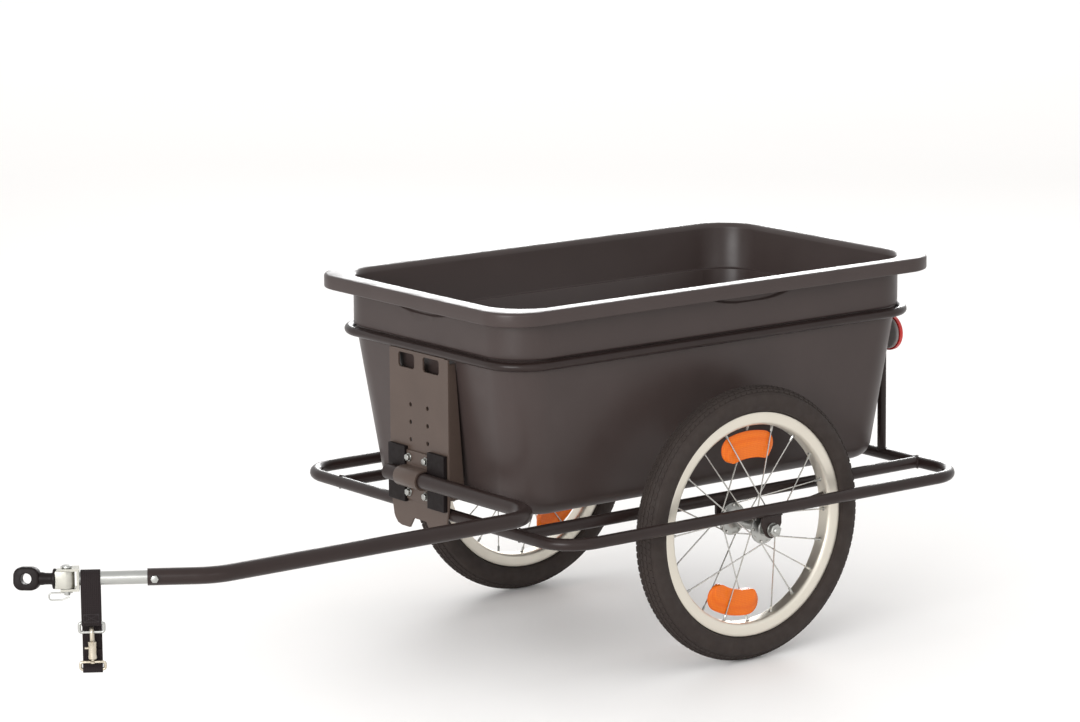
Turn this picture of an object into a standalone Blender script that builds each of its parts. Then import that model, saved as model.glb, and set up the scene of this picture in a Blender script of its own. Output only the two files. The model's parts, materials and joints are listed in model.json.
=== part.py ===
"""Bicycle trailer: a plastic tub in a tube frame on two spoked wheels, with a swan-neck drawbar.

Metres. +X points to the hitch, +Y to the trailer's left, +Z up, and the ground is at Z = 0.
Sizes along X are measured from the wheel axle, and the finished trailer is centred on X = 0.
"""

import math

import bmesh
import bpy
from mathutils import Matrix, Vector

# Clearances: welded or seated faces, and pieces that slide or turn in each other
GAP = 0.0003
RUNNING_GAP = 0.0003
SLIDE_GAP = 0.0005
HOLE_ROOM = 0.0003

# Wheels
TYRE_DIAMETER = 0.395
TYRE_WIDTH = 0.0436
TYRE_WALL = 0.003
TYRE_CROWN_EXTRA = 0.001
TYRE_HEIGHT_OVER_SEAT = 0.045
RIM_WIDTH = 0.027
RIM_FLANGE_HEIGHT = 0.0083
RIM_DEPTH = 0.0188
RIM_WALL = 0.0022
RIM_WELL_DEPTH = 0.003
RIM_INNER_CHAMFER = 0.003
INNER_TUBE_WALL = 0.0015
INNER_TUBE_ROOM = 0.0042
VALVE_DIAMETER = 0.0065
VALVE_LENGTH = 0.040
VALVE_ROOT = 0.004
VALVE_ANGLE = 171.0
WHEEL_TRACK = 0.527
SPOKES_PER_SIDE = 10
SPOKE_DIAMETER = 0.002
SPOKE_LEAD_ANGLE = 72.0
HUB_FLANGE_DIAMETER = 0.047
HUB_FLANGE_SPACING = 0.068
HUB_FLANGE_THICKNESS = 0.003
HUB_BARREL_DIAMETER = 0.017
HUB_END_DIAMETER = 0.022
HUB_END_LENGTH = 0.004
HUB_AXLE_ROOM = 0.0015
HUB_FLANGE_CONE = 0.004
SPOKE_HOLE_INSET = 0.003
BEARING_DIAMETER = 0.0166
BEARING_DEPTH = 0.006
CONE_NOSE = 0.0012
CONE_LAND = 0.002
AXLE_DIAMETER = 0.0095
AXLE_THREAD_BEYOND_NUT = 0.0035
AXLE_NUT_WIDTH = 0.017
AXLE_NUT_HEIGHT = 0.009

# Spoke reflectors, whose bars follow the wheel's curve
SPOKE_REFLECTOR_LENGTH = 0.096
SPOKE_REFLECTOR_WIDTH = 0.038
SPOKE_REFLECTOR_THICKNESS = 0.010
SPOKE_REFLECTOR_FROM_RIM = 0.028
SPOKE_REFLECTOR_ANGLES = (89.0, 284.5)
RIGHT_WHEEL_TURN = -54.0

# Lower loop, inner rails and axle brackets
LOOP_FRONT_X = 0.368
LOOP_REAR_X = -0.372
LOOP_ABOVE_AXLE = 0.0283
LOOP_TUBE = 0.017
LOOP_CORNER_RADIUS = 0.055
BRACKET_SPACING = 0.0996
BRACKET_WIDTH = 0.035
BRACKET_THICKNESS = 0.005
BRACKET_END_RADIUS = 0.0125
RAIL_WALL = 0.0015

# Upper ring that carries the tub, and the posts behind
RING_WIDTH = 0.4298
RING_HEIGHT = 0.4553
RING_TUBE = 0.013
RING_CORNER_RADIUS = 0.060
RING_FRONT_SETBACK = 0.001
RING_REAR_SETBACK = 0.002
POST_SPACING = 0.270
POST_TUBE = 0.013
POST_WALL = 0.0015

# Tub
TUB_WALL = 0.004
COLLAR_INSET = 0.004
COLLAR_HEIGHT = 0.0733
COLLAR_CORNER_RADIUS = 0.064
RIM_OVERHANG_SIDE = 0.0258
RIM_OVERHANG_END = 0.030
RIM_CORNER_RADIUS = 0.058
RIM_SKIRT_HEIGHT = 0.0196
RIM_EDGE_RADIUS = 0.002
COLLAR_EDGE_RADIUS = 0.003
BODY_DEPTH = 0.227
BODY_CLEARANCE = 0.0015
BODY_DRAFT_END = 0.030
BODY_DRAFT_SIDE = 0.023
BODY_CORNER_RADIUS = 0.058
BODY_BOTTOM_RADIUS = 0.020

# Front plate
PLATE_WIDTH = 0.138
PLATE_THICKNESS = 0.003
PLATE_BOTTOM_Z = 0.195
PLATE_FOOT_NARROWING = 0.007
PLATE_FOOT_RADIUS = 0.018
PLATE_NOTCH_WIDTH = 0.050
PLATE_NOTCH_HEIGHT = 0.015
PLATE_FLANGE_DEPTH = 0.010
PLATE_FLANGE_LOW_DEPTH = 0.025
PLATE_FLANGE_END_GAP = 0.006
WINDOW_WIDTH = 0.038
WINDOW_HEIGHT = 0.021
WINDOW_RADIUS = 0.003
WINDOW_BAR = 0.020
WINDOW_TOP_MARGIN = 0.004
PLATE_HOLE_PITCH = 0.025
PLATE_HOLE_ROWS_ABOVE = 4

# Drawbar clamp
CLAMP_ABOVE_LOOP = 0.0467
CLAMP_BOLT_SPACING = 0.040
CLAMP_BOLT_DIAMETER = 0.006
BOLT_BEHIND_PLATE = 0.004
BOLT_WASHER_THICKNESS = 0.0012
BOLT_HEAD_HEIGHT = 0.004
BOLT_HEAD_RATIO = 1.72
SADDLE_THICKNESS = 0.003
SADDLE_WIDTH = 0.052
SADDLE_HEIGHT = 0.070
CLAMP_BASE_INNER_Y = 0.0265
CLAMP_BASE_WIDTH = 0.0395
CLAMP_BASE_HEIGHT = 0.080
CLAMP_BASE_DEPTH = 0.0065
CLAMP_BASE_WEB = 0.002

# Drawbar and hitch, by the distance past the meeting point of the drawbar's two straight runs
DRAWBAR_TUBE = 0.022
DRAWBAR_TAIL_Y = -0.057
DRAWBAR_SIDE_Y = 0.298
DRAWBAR_SIDE_RADIUS = 0.057
DRAWBAR_BEND_X = 0.914
DRAWBAR_BEND_RADIUS = 0.080
DRAWBAR_BEND_ANGLE = 33.0
DRAWBAR_NOSE = 0.085
DRAWBAR_BOLT_FROM_NOSE = 0.009
DRAWBAR_NUT_WIDTH = 0.010
DRAWBAR_NUT_HEIGHT = 0.005
DRAWBAR_BOLT_BEYOND_NUT = 0.0035
HITCH_TUBE = 0.0175
HITCH_TUBE_WALL = 0.002
HITCH_TUBE_OVERLAP = 0.052

# Safety strap, its ring and its bolt snap
WEBBING_WIDTH = 0.025
WEBBING_THICKNESS = 0.002
WEBBING_PLY_GAP = 0.0006
STRAP_FROM_NOSE = 0.0715
STRAP_END_ROOM = 0.0015
STRAP_RING_DROP = 0.056
STRAP_SLANT_DROP = 0.035
STRAP_TAIL_LENGTH = 0.015
RING_WIRE = 0.004
RING_CLEAR_WIDTH = 0.027
RING_CLEAR_HEIGHT = 0.008
RING_BEND = 0.003
SNAP_BARREL_DIAMETER = 0.011
SNAP_BARREL_LENGTH = 0.023
SNAP_BARREL_FLOOR = 0.0034
SNAP_BOLT_DIAMETER = 0.006
SNAP_BOLT_GRIP = 0.012
SNAP_TRAVEL = 0.0065
SNAP_STUD_DIAMETER = 0.0036
SNAP_STUD_REACH = 0.0095
SNAP_HOOK_WIRE = 0.0046
SNAP_HOOK_MOUTH = 0.0125
SNAP_HOOK_ROOT = 0.004
SNAP_HOOK_SHOULDER = 0.006
SNAP_RING_ROOM = 0.0006
SNAP_TIP_ROOM = 0.0006
SNAP_STUD_DROP = 0.0055
SNAP_CHAMFER = 0.001
SWIVEL_WIRE = 0.004
SWIVEL_CLEAR_HEIGHT = 0.0055
SWIVEL_DROP = 0.002
SWIVEL_STEM_DIAMETER = 0.0044
SWIVEL_STEM_DEPTH = 0.0015

# Hitch fork, knuckle and head
FORK_THICKNESS = 0.003
FORK_HEIGHT = 0.029
FORK_WIDTH = 0.020
FORK_ARM_LENGTH = 0.0205
HITCH_PIN_DIAMETER = 0.008
HITCH_PIN_HEAD = 0.013
HITCH_PIN_HEAD_HEIGHT = 0.003
HITCH_PIN_BELOW_FORK = 0.0065
PIN_CHAMFER = 0.001
PIN_BEHIND_ROOM = 0.0025
FLANGE_ROOM = 0.0012
KNUCKLE_WIDTH = 0.020
HEAD_REST_YAW = -8.0
HEAD_REST_ROLL = 10.0
HEAD_FLANGE_DIAMETER = 0.026
HEAD_FLANGE_THICKNESS = 0.003
HEAD_NECK_DIAMETER = 0.0165
HEAD_NECK_LENGTH = 0.020
HEAD_SPINDLE_DIAMETER = 0.010
HEAD_SPINDLE_LENGTH = 0.007
EYE_LENGTH = 0.033
EYE_HEIGHT = 0.0295
EYE_THICKNESS = 0.020
EYE_CORNER_RADIUS = 0.011
EYE_EDGE_BEVEL = 0.003
EYE_BORE_DIAMETER = 0.014
CLIP_WIRE = 0.002
CLIP_DROP = 0.0095
CLIP_REACH = 0.023
CLIP_STUB = 0.007
CLIP_BEND = 0.004
CLIP_ROOM = 0.0008

# Rear reflectors
REAR_LENS_DIAMETER = 0.054
REAR_LENS_SKIRT = 0.006
REAR_LENS_DOME = 0.003
REAR_LENS_SHOULDER = 0.8
REAR_LENS_SHOULDER_RISE = 0.7
REAR_LENS_CROWN = 0.4
REAR_HOUSING_DIAMETER = 0.049
REAR_HOUSING_DEPTH = 0.004
REAR_REFLECTOR_BELOW_RING = 0.0473
REAR_HOUSING_EDGE = 0.003

# Facets of round shapes
WHEEL_STEPS = 40
ROUND_STEPS = 16
SMALL_STEPS = 12
CORNER_STEPS = 6

# How far a cutter runs past the faces that it opens, and where shading turns sharp
PAST = 0.002
FAR_PAST = 0.010
SHARP_ANGLE = 38.0

# Places that several pieces share
AXLE_Z = TYRE_DIAMETER / 2
LOOP_HEIGHT = AXLE_Z + LOOP_ABOVE_AXLE
CLAMP_HEIGHT = LOOP_HEIGHT + CLAMP_ABOVE_LOOP
REAR_REFLECTOR_HEIGHT = RING_HEIGHT - REAR_REFLECTOR_BELOW_RING
WHEEL_Y = WHEEL_TRACK / 2
BRACKET_OFFSET = BRACKET_SPACING / 2
RAIL_Y = WHEEL_Y - BRACKET_OFFSET
LOOP_Y = WHEEL_Y + BRACKET_OFFSET
PLATE_BACK_X = LOOP_FRONT_X + LOOP_TUBE / 2 + GAP
PLATE_FRONT_X = PLATE_BACK_X + PLATE_THICKNESS
PLATE_TOP_Z = RING_HEIGHT - RING_TUBE / 2 - GAP
RING_FRONT_X = PLATE_BACK_X - RING_FRONT_SETBACK
RING_REAR_X = LOOP_REAR_X + RING_REAR_SETBACK
RING_CENTRE_X = (RING_FRONT_X + RING_REAR_X) / 2
RING_HALF_LENGTH = (RING_FRONT_X - RING_REAR_X) / 2
COLLAR_BOTTOM_Z = RING_HEIGHT + RING_TUBE / 2 + GAP
RIM_TOP_Z = COLLAR_BOTTOM_Z + COLLAR_HEIGHT
CLAMP_SEAT_RADIUS = DRAWBAR_TUBE / 2 + RUNNING_GAP
DRAWBAR_X = PLATE_FRONT_X + GAP + CLAMP_BASE_WEB + CLAMP_SEAT_RADIUS
STRAP_STATION = DRAWBAR_NOSE + STRAP_FROM_NOSE
FORK_STATION = STRAP_STATION + WEBBING_WIDTH / 2 + STRAP_END_ROOM
KNUCKLE_RADIUS = KNUCKLE_WIDTH / 2
PIN_FROM_FORK = FORK_THICKNESS + KNUCKLE_RADIUS + PIN_BEHIND_ROOM
FORK_REACH = math.hypot(FORK_ARM_LENGTH + FORK_THICKNESS - PIN_FROM_FORK, FORK_WIDTH / 2)
HEAD_FLANGE_X = FORK_REACH + FLANGE_ROOM


def linear(channel):
    """One sRGB channel, 0 to 1, as linear light."""
    return channel / 12.92 if channel <= 0.04045 else ((channel + 0.055) / 1.055) ** 2.4


def material(name, colour, roughness, metallic=0.0):
    """The Principled material of that name, made once; the colour is an sRGB hex string."""
    found = bpy.data.materials.get(name)
    if found:
        return found
    made = bpy.data.materials.new(name)
    made.use_nodes = True
    shader = made.node_tree.nodes["Principled BSDF"]
    rgb = [linear(int(colour[i : i + 2], 16) / 255) for i in (0, 2, 4)]
    shader.inputs["Base Color"].default_value = (*rgb, 1.0)
    shader.inputs["Roughness"].default_value = roughness
    shader.inputs["Metallic"].default_value = metallic
    return made


def tub_plastic():
    return material("tub_plastic", "4B4643", 0.62)


def frame_paint():
    return material("frame_paint", "2B2523", 0.38)


def tyre_rubber():
    return material("tyre_rubber", "2C2927", 0.85)


def rim_aluminium():
    return material("rim_aluminium", "C9C6C0", 0.32, 1.0)


def zinc_steel():
    return material("zinc_steel", "B4B1AA", 0.35, 1.0)


def black_plastic():
    return material("black_plastic", "1D1B1B", 0.5)


def orange_lens():
    return material("orange_lens", "E8641C", 0.22)


def red_lens():
    return material("red_lens", "C8281E", 0.2)


def grey_plastic():
    return material("grey_plastic", "8C8886", 0.5)


def black_webbing():
    return material("black_webbing", "1B191A", 0.9)


def clear_scene():
    for obj in list(bpy.data.objects):
        bpy.data.objects.remove(obj, do_unlink=True)


def empty(name, parent=None, location=(0, 0, 0), rotation=(0, 0, 0)):
    made = bpy.data.objects.new(name, None)
    made.empty_display_size = 0.03
    made.location = location
    made.rotation_euler = rotation
    made.parent = parent
    bpy.context.scene.collection.objects.link(made)
    return made


def place(name, mesh, finish, parent=None, location=(0, 0, 0), rotation=(0, 0, 0)):
    """A named object of that mesh, shaded smooth except across its sharp edges."""
    mesh.shade_smooth()
    mesh.set_sharp_from_angle(angle=math.radians(SHARP_ANGLE))
    mesh.materials.clear()
    mesh.materials.append(finish)
    made = bpy.data.objects.new(name, mesh)
    made.location = location
    made.rotation_euler = rotation
    made.parent = parent
    bpy.context.scene.collection.objects.link(made)
    return made


def finished(bm, name):
    """The mesh of a bmesh, with its faces turned outward."""
    bmesh.ops.recalc_face_normals(bm, faces=bm.faces)
    mesh = bpy.data.meshes.new(name)
    bm.to_mesh(mesh)
    bm.free()
    return mesh


def loop_mesh(name, loops, closed=False):
    """Loops of equal length bridged in order. The ends are capped, or joined to each other if closed."""
    bm = bmesh.new()
    rings = [[bm.verts.new(point) for point in loop] for loop in loops]
    pairs = list(zip(rings, rings[1:]))
    if closed:
        pairs.append((rings[-1], rings[0]))
    for low, high in pairs:
        for i in range(len(low)):
            j = (i + 1) % len(low)
            bm.faces.new((low[i], low[j], high[j], high[i]))
    if not closed:
        bm.faces.new(rings[0])
        bm.faces.new(rings[-1])
    return finished(bm, name)


def turned(name, profile, steps=ROUND_STEPS, hollow=False, turn=0.0):
    """A profile of (radius, height) spun about local Z. A hollow one is a closed ring around the axis."""
    bm = bmesh.new()
    start = Vector((math.cos(turn), math.sin(turn), 0))
    verts = [bm.verts.new(start * radius + Vector((0, 0, height))) for radius, height in profile]
    edges = [bm.edges.new(pair) for pair in zip(verts, verts[1:])]
    if hollow:
        edges.append(bm.edges.new((verts[-1], verts[0])))
    bmesh.ops.spin(
        bm,
        geom=verts + edges,
        cent=(0, 0, 0),
        axis=(0, 0, 1),
        angle=2 * math.pi,
        steps=steps,
        use_merge=True,
        use_duplicate=False,
    )
    if not hollow:
        bmesh.ops.holes_fill(bm, edges=[edge for edge in bm.edges if edge.is_boundary], sides=0)
    return finished(bm, name)


def prism(name, outline, start, end, axis="Z"):
    """An outline extruded along an axis; its points are (y, z) on X, (x, z) on Y and (x, y) on Z."""
    put = {
        "X": lambda u, v, w: (w, u, v),
        "Y": lambda u, v, w: (u, w, v),
        "Z": lambda u, v, w: (u, v, w),
    }[axis]
    bm = bmesh.new()
    face = bm.faces.new([bm.verts.new(put(u, v, start)) for u, v in outline])
    grown = bmesh.ops.extrude_face_region(bm, geom=[face])
    moved = [item for item in grown["geom"] if isinstance(item, bmesh.types.BMVert)]
    bmesh.ops.translate(bm, verts=moved, vec=put(0, 0, end - start))
    return finished(bm, name)


def arc(cx, cy, radius, start, end, steps):
    """Points on an arc, both ends included; angles in degrees."""
    turns = [math.radians(start + (end - start) * i / steps) for i in range(steps + 1)]
    return [(cx + radius * math.cos(t), cy + radius * math.sin(t)) for t in turns]


def circle(cx, cy, radius, steps, turn=0.0):
    return arc(cx, cy, radius, turn, turn + 360 - 360 / steps, steps - 1)


def rounded_rectangle(half_x, half_y, radius, steps=CORNER_STEPS, cx=0.0, cy=0.0):
    points = []
    for quarter, (sx, sy) in enumerate(((1, 1), (-1, 1), (-1, -1), (1, -1))):
        x = cx + sx * (half_x - radius)
        y = cy + sy * (half_y - radius)
        points += arc(x, y, radius, 90 * quarter, 90 * quarter + 90, steps)
    return points


def rounded_path(corners, radii, steps=CORNER_STEPS):
    """A polyline through the corners, each inner corner rounded to its radius."""
    points = [Vector(corners[0])]
    for before, corner, after, radius in zip(corners, corners[1:], corners[2:], radii):
        here = Vector(corner)
        to_start = (Vector(before) - here).normalized()
        to_end = (Vector(after) - here).normalized()
        half = to_start.angle(to_end) / 2
        centre = here + (to_start + to_end).normalized() * radius / math.sin(half)
        first = here + to_start * radius / math.tan(half) - centre
        last = here + to_end * radius / math.tan(half) - centre
        for i in range(steps + 1):
            points.append(centre + first.normalized().slerp(last.normalized(), i / steps) * radius)
    points.append(Vector(corners[-1]))
    return points


def tube_mesh(name, points, diameter, cyclic=False, resolution=3):
    """A round bar along the points, with filled ends; resolution 3 makes it ten-sided."""
    curve = bpy.data.curves.new(name, "CURVE")
    curve.dimensions = "3D"
    curve.bevel_depth = diameter / 2
    curve.bevel_resolution = resolution
    curve.use_fill_caps = True
    spline = curve.splines.new("POLY")
    spline.points.add(len(points) - 1)
    for point, place_at in zip(spline.points, points):
        point.co = (*place_at, 1)
    spline.use_cyclic_u = cyclic
    guide = bpy.data.objects.new(name + "_guide", curve)
    mesh = bpy.data.meshes.new_from_object(guide)
    bpy.data.objects.remove(guide)
    bpy.data.curves.remove(curve)
    mesh.name = name
    return mesh


def joined(name, meshes):
    """Several meshes as one, for a cutter of separate bodies."""
    bm = bmesh.new()
    for mesh in meshes:
        bm.from_mesh(mesh)
    return finished(bm, name)


def boolean(target, mesh, operation, name):
    """A live Boolean on target, by a hidden helper that shares its place."""
    helper = bpy.data.objects.new(name, mesh)
    helper.hide_render = True
    helper.display_type = "WIRE"
    helper.parent = target
    bpy.context.scene.collection.objects.link(helper)
    helper.hide_set(True)
    modifier = target.modifiers.new(name, "BOOLEAN")
    modifier.operation = operation
    modifier.solver = "EXACT"
    modifier.object = helper
    return modifier


def cut(target, mesh, name):
    return boolean(target, mesh, "DIFFERENCE", name)


def fuse(target, mesh, name):
    return boolean(target, mesh, "UNION", name)


def tub(root):
    """The tub hangs in the ring by its collar; the rim folds out and down around the top."""
    collar_x = RING_HALF_LENGTH - COLLAR_INSET
    collar_y = RING_WIDTH / 2 - COLLAR_INSET
    ring_inside = RING_TUBE / 2 + BODY_CLEARANCE
    body_x = RING_HALF_LENGTH - ring_inside
    body_y = RING_WIDTH / 2 - ring_inside
    rim_x = collar_x + RIM_OVERHANG_END
    rim_y = collar_y + RIM_OVERHANG_SIDE
    floor_x = body_x - BODY_DRAFT_END
    floor_y = body_y - BODY_DRAFT_SIDE

    def section(half_x, half_y, radius, z, inset=0.0):
        outline = rounded_rectangle(half_x - inset, half_y - inset, radius - inset)
        return [(x, y, z) for x, y in outline]

    def bottom(inset, floor_z, radius):
        """The rounded edge between floor and wall, as three sections from the floor up."""
        found = []
        for angle in (0, 35, 90):
            t = math.radians(angle)
            back = radius * (1 - math.sin(t))
            z = floor_z + radius * (1 - math.cos(t))
            slope = (z - floor_z) / BODY_DEPTH
            half_x = floor_x + BODY_DRAFT_END * slope - back
            half_y = floor_y + BODY_DRAFT_SIDE * slope - back
            found.append(section(half_x, half_y, BODY_CORNER_RADIUS - back, z, inset))
        return found

    skirt_z = COLLAR_HEIGHT - RIM_SKIRT_HEIGHT
    under_rim = COLLAR_HEIGHT - TUB_WALL
    edge = RIM_EDGE_RADIUS
    loops = bottom(0.0, -BODY_DEPTH, BODY_BOTTOM_RADIUS)
    loops.append(section(body_x, body_y, BODY_CORNER_RADIUS, 0))
    turn_in = COLLAR_EDGE_RADIUS
    loops.append(section(collar_x, collar_y, COLLAR_CORNER_RADIUS, 0, turn_in))
    loops.append(section(collar_x, collar_y, COLLAR_CORNER_RADIUS, turn_in))
    loops.append(section(collar_x, collar_y, COLLAR_CORNER_RADIUS, under_rim))
    loops.append(section(rim_x, rim_y, RIM_CORNER_RADIUS, under_rim, TUB_WALL))
    loops.append(section(rim_x, rim_y, RIM_CORNER_RADIUS, skirt_z, TUB_WALL))
    loops.append(section(rim_x, rim_y, RIM_CORNER_RADIUS, skirt_z))
    loops.append(section(rim_x, rim_y, RIM_CORNER_RADIUS, COLLAR_HEIGHT - edge))
    loops.append(section(rim_x, rim_y, RIM_CORNER_RADIUS, COLLAR_HEIGHT, edge))
    loops.append(section(collar_x, collar_y, COLLAR_CORNER_RADIUS, COLLAR_HEIGHT, TUB_WALL - edge))
    loops.append(section(collar_x, collar_y, COLLAR_CORNER_RADIUS, COLLAR_HEIGHT - edge, TUB_WALL))
    loops.append(section(collar_x, collar_y, COLLAR_CORNER_RADIUS, TUB_WALL + edge, TUB_WALL))
    loops.append(section(body_x, body_y, BODY_CORNER_RADIUS, TUB_WALL - edge, TUB_WALL))
    loops += reversed(bottom(TUB_WALL, TUB_WALL - BODY_DEPTH, BODY_BOTTOM_RADIUS - TUB_WALL / 2))
    mesh = loop_mesh("tub", loops)
    place("tub", mesh, tub_plastic(), root, (RING_CENTRE_X, 0, COLLAR_BOTTOM_Z))


def ring_path(front, rear, half_width, radius, z):
    outline = rounded_rectangle((front - rear) / 2, half_width, radius, cx=(front + rear) / 2)
    return [(x, y, z) for x, y in outline]


def pipe(name, path, diameter, wall, finish, parent, resolution=3):
    """An open-ended tube along the path."""
    outer = place(name, tube_mesh(name, path, diameter, resolution=resolution), finish, parent)
    first = (path[0] - path[1]).normalized() * FAR_PAST
    last = (path[-1] - path[-2]).normalized() * FAR_PAST
    longer = [path[0] + first, *path[1:-1], path[-1] + last]
    inner = tube_mesh(name + "_bore", longer, diameter - 2 * wall, resolution=resolution)
    cut(outer, inner, name + "_bore")
    return outer


def frame(root):
    """The lower loop, the upper ring, the rails between and the posts behind."""
    lower = ring_path(LOOP_FRONT_X, LOOP_REAR_X, LOOP_Y, LOOP_CORNER_RADIUS, LOOP_HEIGHT)
    place("lower_loop", tube_mesh("lower_loop", lower, LOOP_TUBE, cyclic=True), frame_paint(), root)
    upper = ring_path(RING_FRONT_X, RING_REAR_X, RING_WIDTH / 2, RING_CORNER_RADIUS, RING_HEIGHT)
    place("upper_ring", tube_mesh("upper_ring", upper, RING_TUBE, cyclic=True), frame_paint(), root)
    to_face = LOOP_TUBE / 2 + GAP
    for side, sign in (("left", 1), ("right", -1)):
        rail = [
            Vector((LOOP_REAR_X + to_face, sign * RAIL_Y, LOOP_HEIGHT)),
            Vector((LOOP_FRONT_X - to_face, sign * RAIL_Y, LOOP_HEIGHT)),
        ]
        pipe("inner_rail_" + side, rail, LOOP_TUBE, RAIL_WALL, frame_paint(), root)
        post_y = sign * POST_SPACING / 2
        post = [
            Vector((LOOP_REAR_X, post_y, LOOP_HEIGHT + to_face)),
            Vector((RING_REAR_X, post_y, RING_HEIGHT - RING_TUBE / 2 - GAP)),
        ]
        pipe("rear_post_" + side, post, POST_TUBE, POST_WALL, frame_paint(), root)


def axle_brackets(root):
    """Plates that hang from the rails and the loop's sides and hold the axles."""
    top = LOOP_HEIGHT - LOOP_TUBE / 2 - GAP - AXLE_Z
    half = BRACKET_WIDTH / 2
    lower = arc(0, 0, BRACKET_END_RADIUS, -160, -20, 6)
    outline = [(half, top), (-half, top), (-half, BRACKET_END_RADIUS * 0.6)]
    outline += lower + [(half, BRACKET_END_RADIUS * 0.6)]
    bore = AXLE_DIAMETER / 2 + HOLE_ROOM
    for side, sign in (("left", 1), ("right", -1)):
        for where, y in (("inner", RAIL_Y), ("outer", LOOP_Y)):
            name = "axle_bracket_" + side + "_" + where
            mesh = prism(name, outline, -BRACKET_THICKNESS / 2, BRACKET_THICKNESS / 2, "Y")
            bracket = place(name, mesh, frame_paint(), root, (0, sign * y, AXLE_Z))
            hole = prism(name + "_hole", circle(0, 0, bore, SMALL_STEPS), -FAR_PAST, FAR_PAST, "Y")
            cut(bracket, hole, name + "_hole")


def hexagon_nut(name, size, parent, location, rotation):
    """A hexagon nut of that width, height and bore radius, standing on its place along local Z."""
    width, height, bore = size
    corner = width / math.sqrt(3)
    outer = []
    for i in range(6):
        a, b = (Vector(circle(0, 0, corner, 6)[k % 6]) for k in (i, i + 1))
        outer += [tuple(a), tuple((a + b) / 2)]
    inner = circle(0, 0, bore, 12)
    levels = ((inner, 0), (outer, 0), (outer, height), (inner, height))
    loops = [[(x, y, z) for x, y in ring] for ring, z in levels]
    mesh = loop_mesh(name, loops, closed=True)
    return place(name, mesh, zinc_steel(), parent, location, rotation)


def axle(root, side, sign):
    """The fixed axle with its two nuts and the cones that the hub turns on."""
    outside = BRACKET_OFFSET + BRACKET_THICKNESS / 2 + GAP
    half = outside + AXLE_NUT_HEIGHT + AXLE_THREAD_BEYOND_NUT
    chamfer = AXLE_DIAMETER / 8
    radius = AXLE_DIAMETER / 2
    profile = [(radius - chamfer, -half), (radius, chamfer - half)]
    profile += [(radius, half - chamfer), (radius - chamfer, half)]
    at = (0, sign * WHEEL_Y, AXLE_Z)
    along_y = (math.radians(-90), 0, 0)
    place("axle_" + side, turned("axle_" + side, profile, SMALL_STEPS), zinc_steel(), root, at, along_y)
    cone_bore = radius + GAP
    cone_end = BRACKET_OFFSET - BRACKET_THICKNESS / 2 - GAP
    cup_floor = HUB_FLANGE_SPACING / 2 + HUB_END_LENGTH - BEARING_DEPTH
    cone_radius = BEARING_DIAMETER / 2 - 2 * RUNNING_GAP
    hub_end = HUB_FLANGE_SPACING / 2 + HUB_END_LENGTH
    cone = [
        (cone_bore, cup_floor + RUNNING_GAP),
        (cone_bore + CONE_NOSE, cup_floor + RUNNING_GAP),
        (cone_radius, hub_end - CONE_LAND),
        (cone_radius, cone_end),
        (cone_bore, cone_end),
    ]
    for where, out in (("outer", sign), ("inner", -sign)):
        turn = (math.radians(-90 * out), 0, 0)
        name = "bearing_cone_" + side + "_" + where
        place(name, turned(name, cone, SMALL_STEPS, hollow=True), zinc_steel(), root, at, turn)
        y = sign * WHEEL_Y + out * outside
        nut = "axle_nut_" + side + "_" + where
        size = (AXLE_NUT_WIDTH, AXLE_NUT_HEIGHT, radius + GAP)
        hexagon_nut(nut, size, root, (0, y, AXLE_Z), turn)


def rim_seat_radius():
    return TYRE_DIAMETER / 2 - TYRE_HEIGHT_OVER_SEAT


def rim_inside():
    """Radius of the rim's face towards the hub."""
    return rim_seat_radius() + RIM_FLANGE_HEIGHT - RIM_DEPTH


def tyre_mesh(name):
    """The open section of the tyre, whose beads stand between the rim's flanges."""
    section = TYRE_WIDTH / 2
    centre = TYRE_DIAMETER / 2 - section
    bead = RIM_WIDTH / 2 - RIM_WALL - GAP
    toe = rim_seat_radius() + GAP
    over = rim_seat_radius() + RIM_FLANGE_HEIGHT + GAP
    inner = section - TYRE_WALL
    outside = arc(centre, 0, section, -125, 125, 8)
    inside = arc(centre - TYRE_CROWN_EXTRA, 0, inner, 118, -118, 7)
    thick = bead - TYRE_WALL
    waist = over + TYRE_WALL * 0.7
    heel = [(over, bead), (toe, bead), (toe, thick), (waist, thick)]
    other = [(waist, -thick), (toe, -thick), (toe, -bead), (over, -bead)]
    return turned(name, outside + heel + inside + other, WHEEL_STEPS, hollow=True)


def rim_mesh(name):
    half = RIM_WIDTH / 2
    flange = rim_seat_radius() + RIM_FLANGE_HEIGHT
    seat = rim_seat_radius()
    well = seat - RIM_WELL_DEPTH
    inside = rim_inside()
    one_side = [
        (inside, half * 0.6),
        (inside + RIM_INNER_CHAMFER, half * 0.93),
        (flange, half),
        (flange, half - RIM_WALL),
        (seat, half - RIM_WALL),
        (well, half * 0.45),
    ]
    profile = one_side + [(r, -a) for r, a in reversed(one_side)]
    return turned(name, profile, WHEEL_STEPS, hollow=True)


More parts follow.
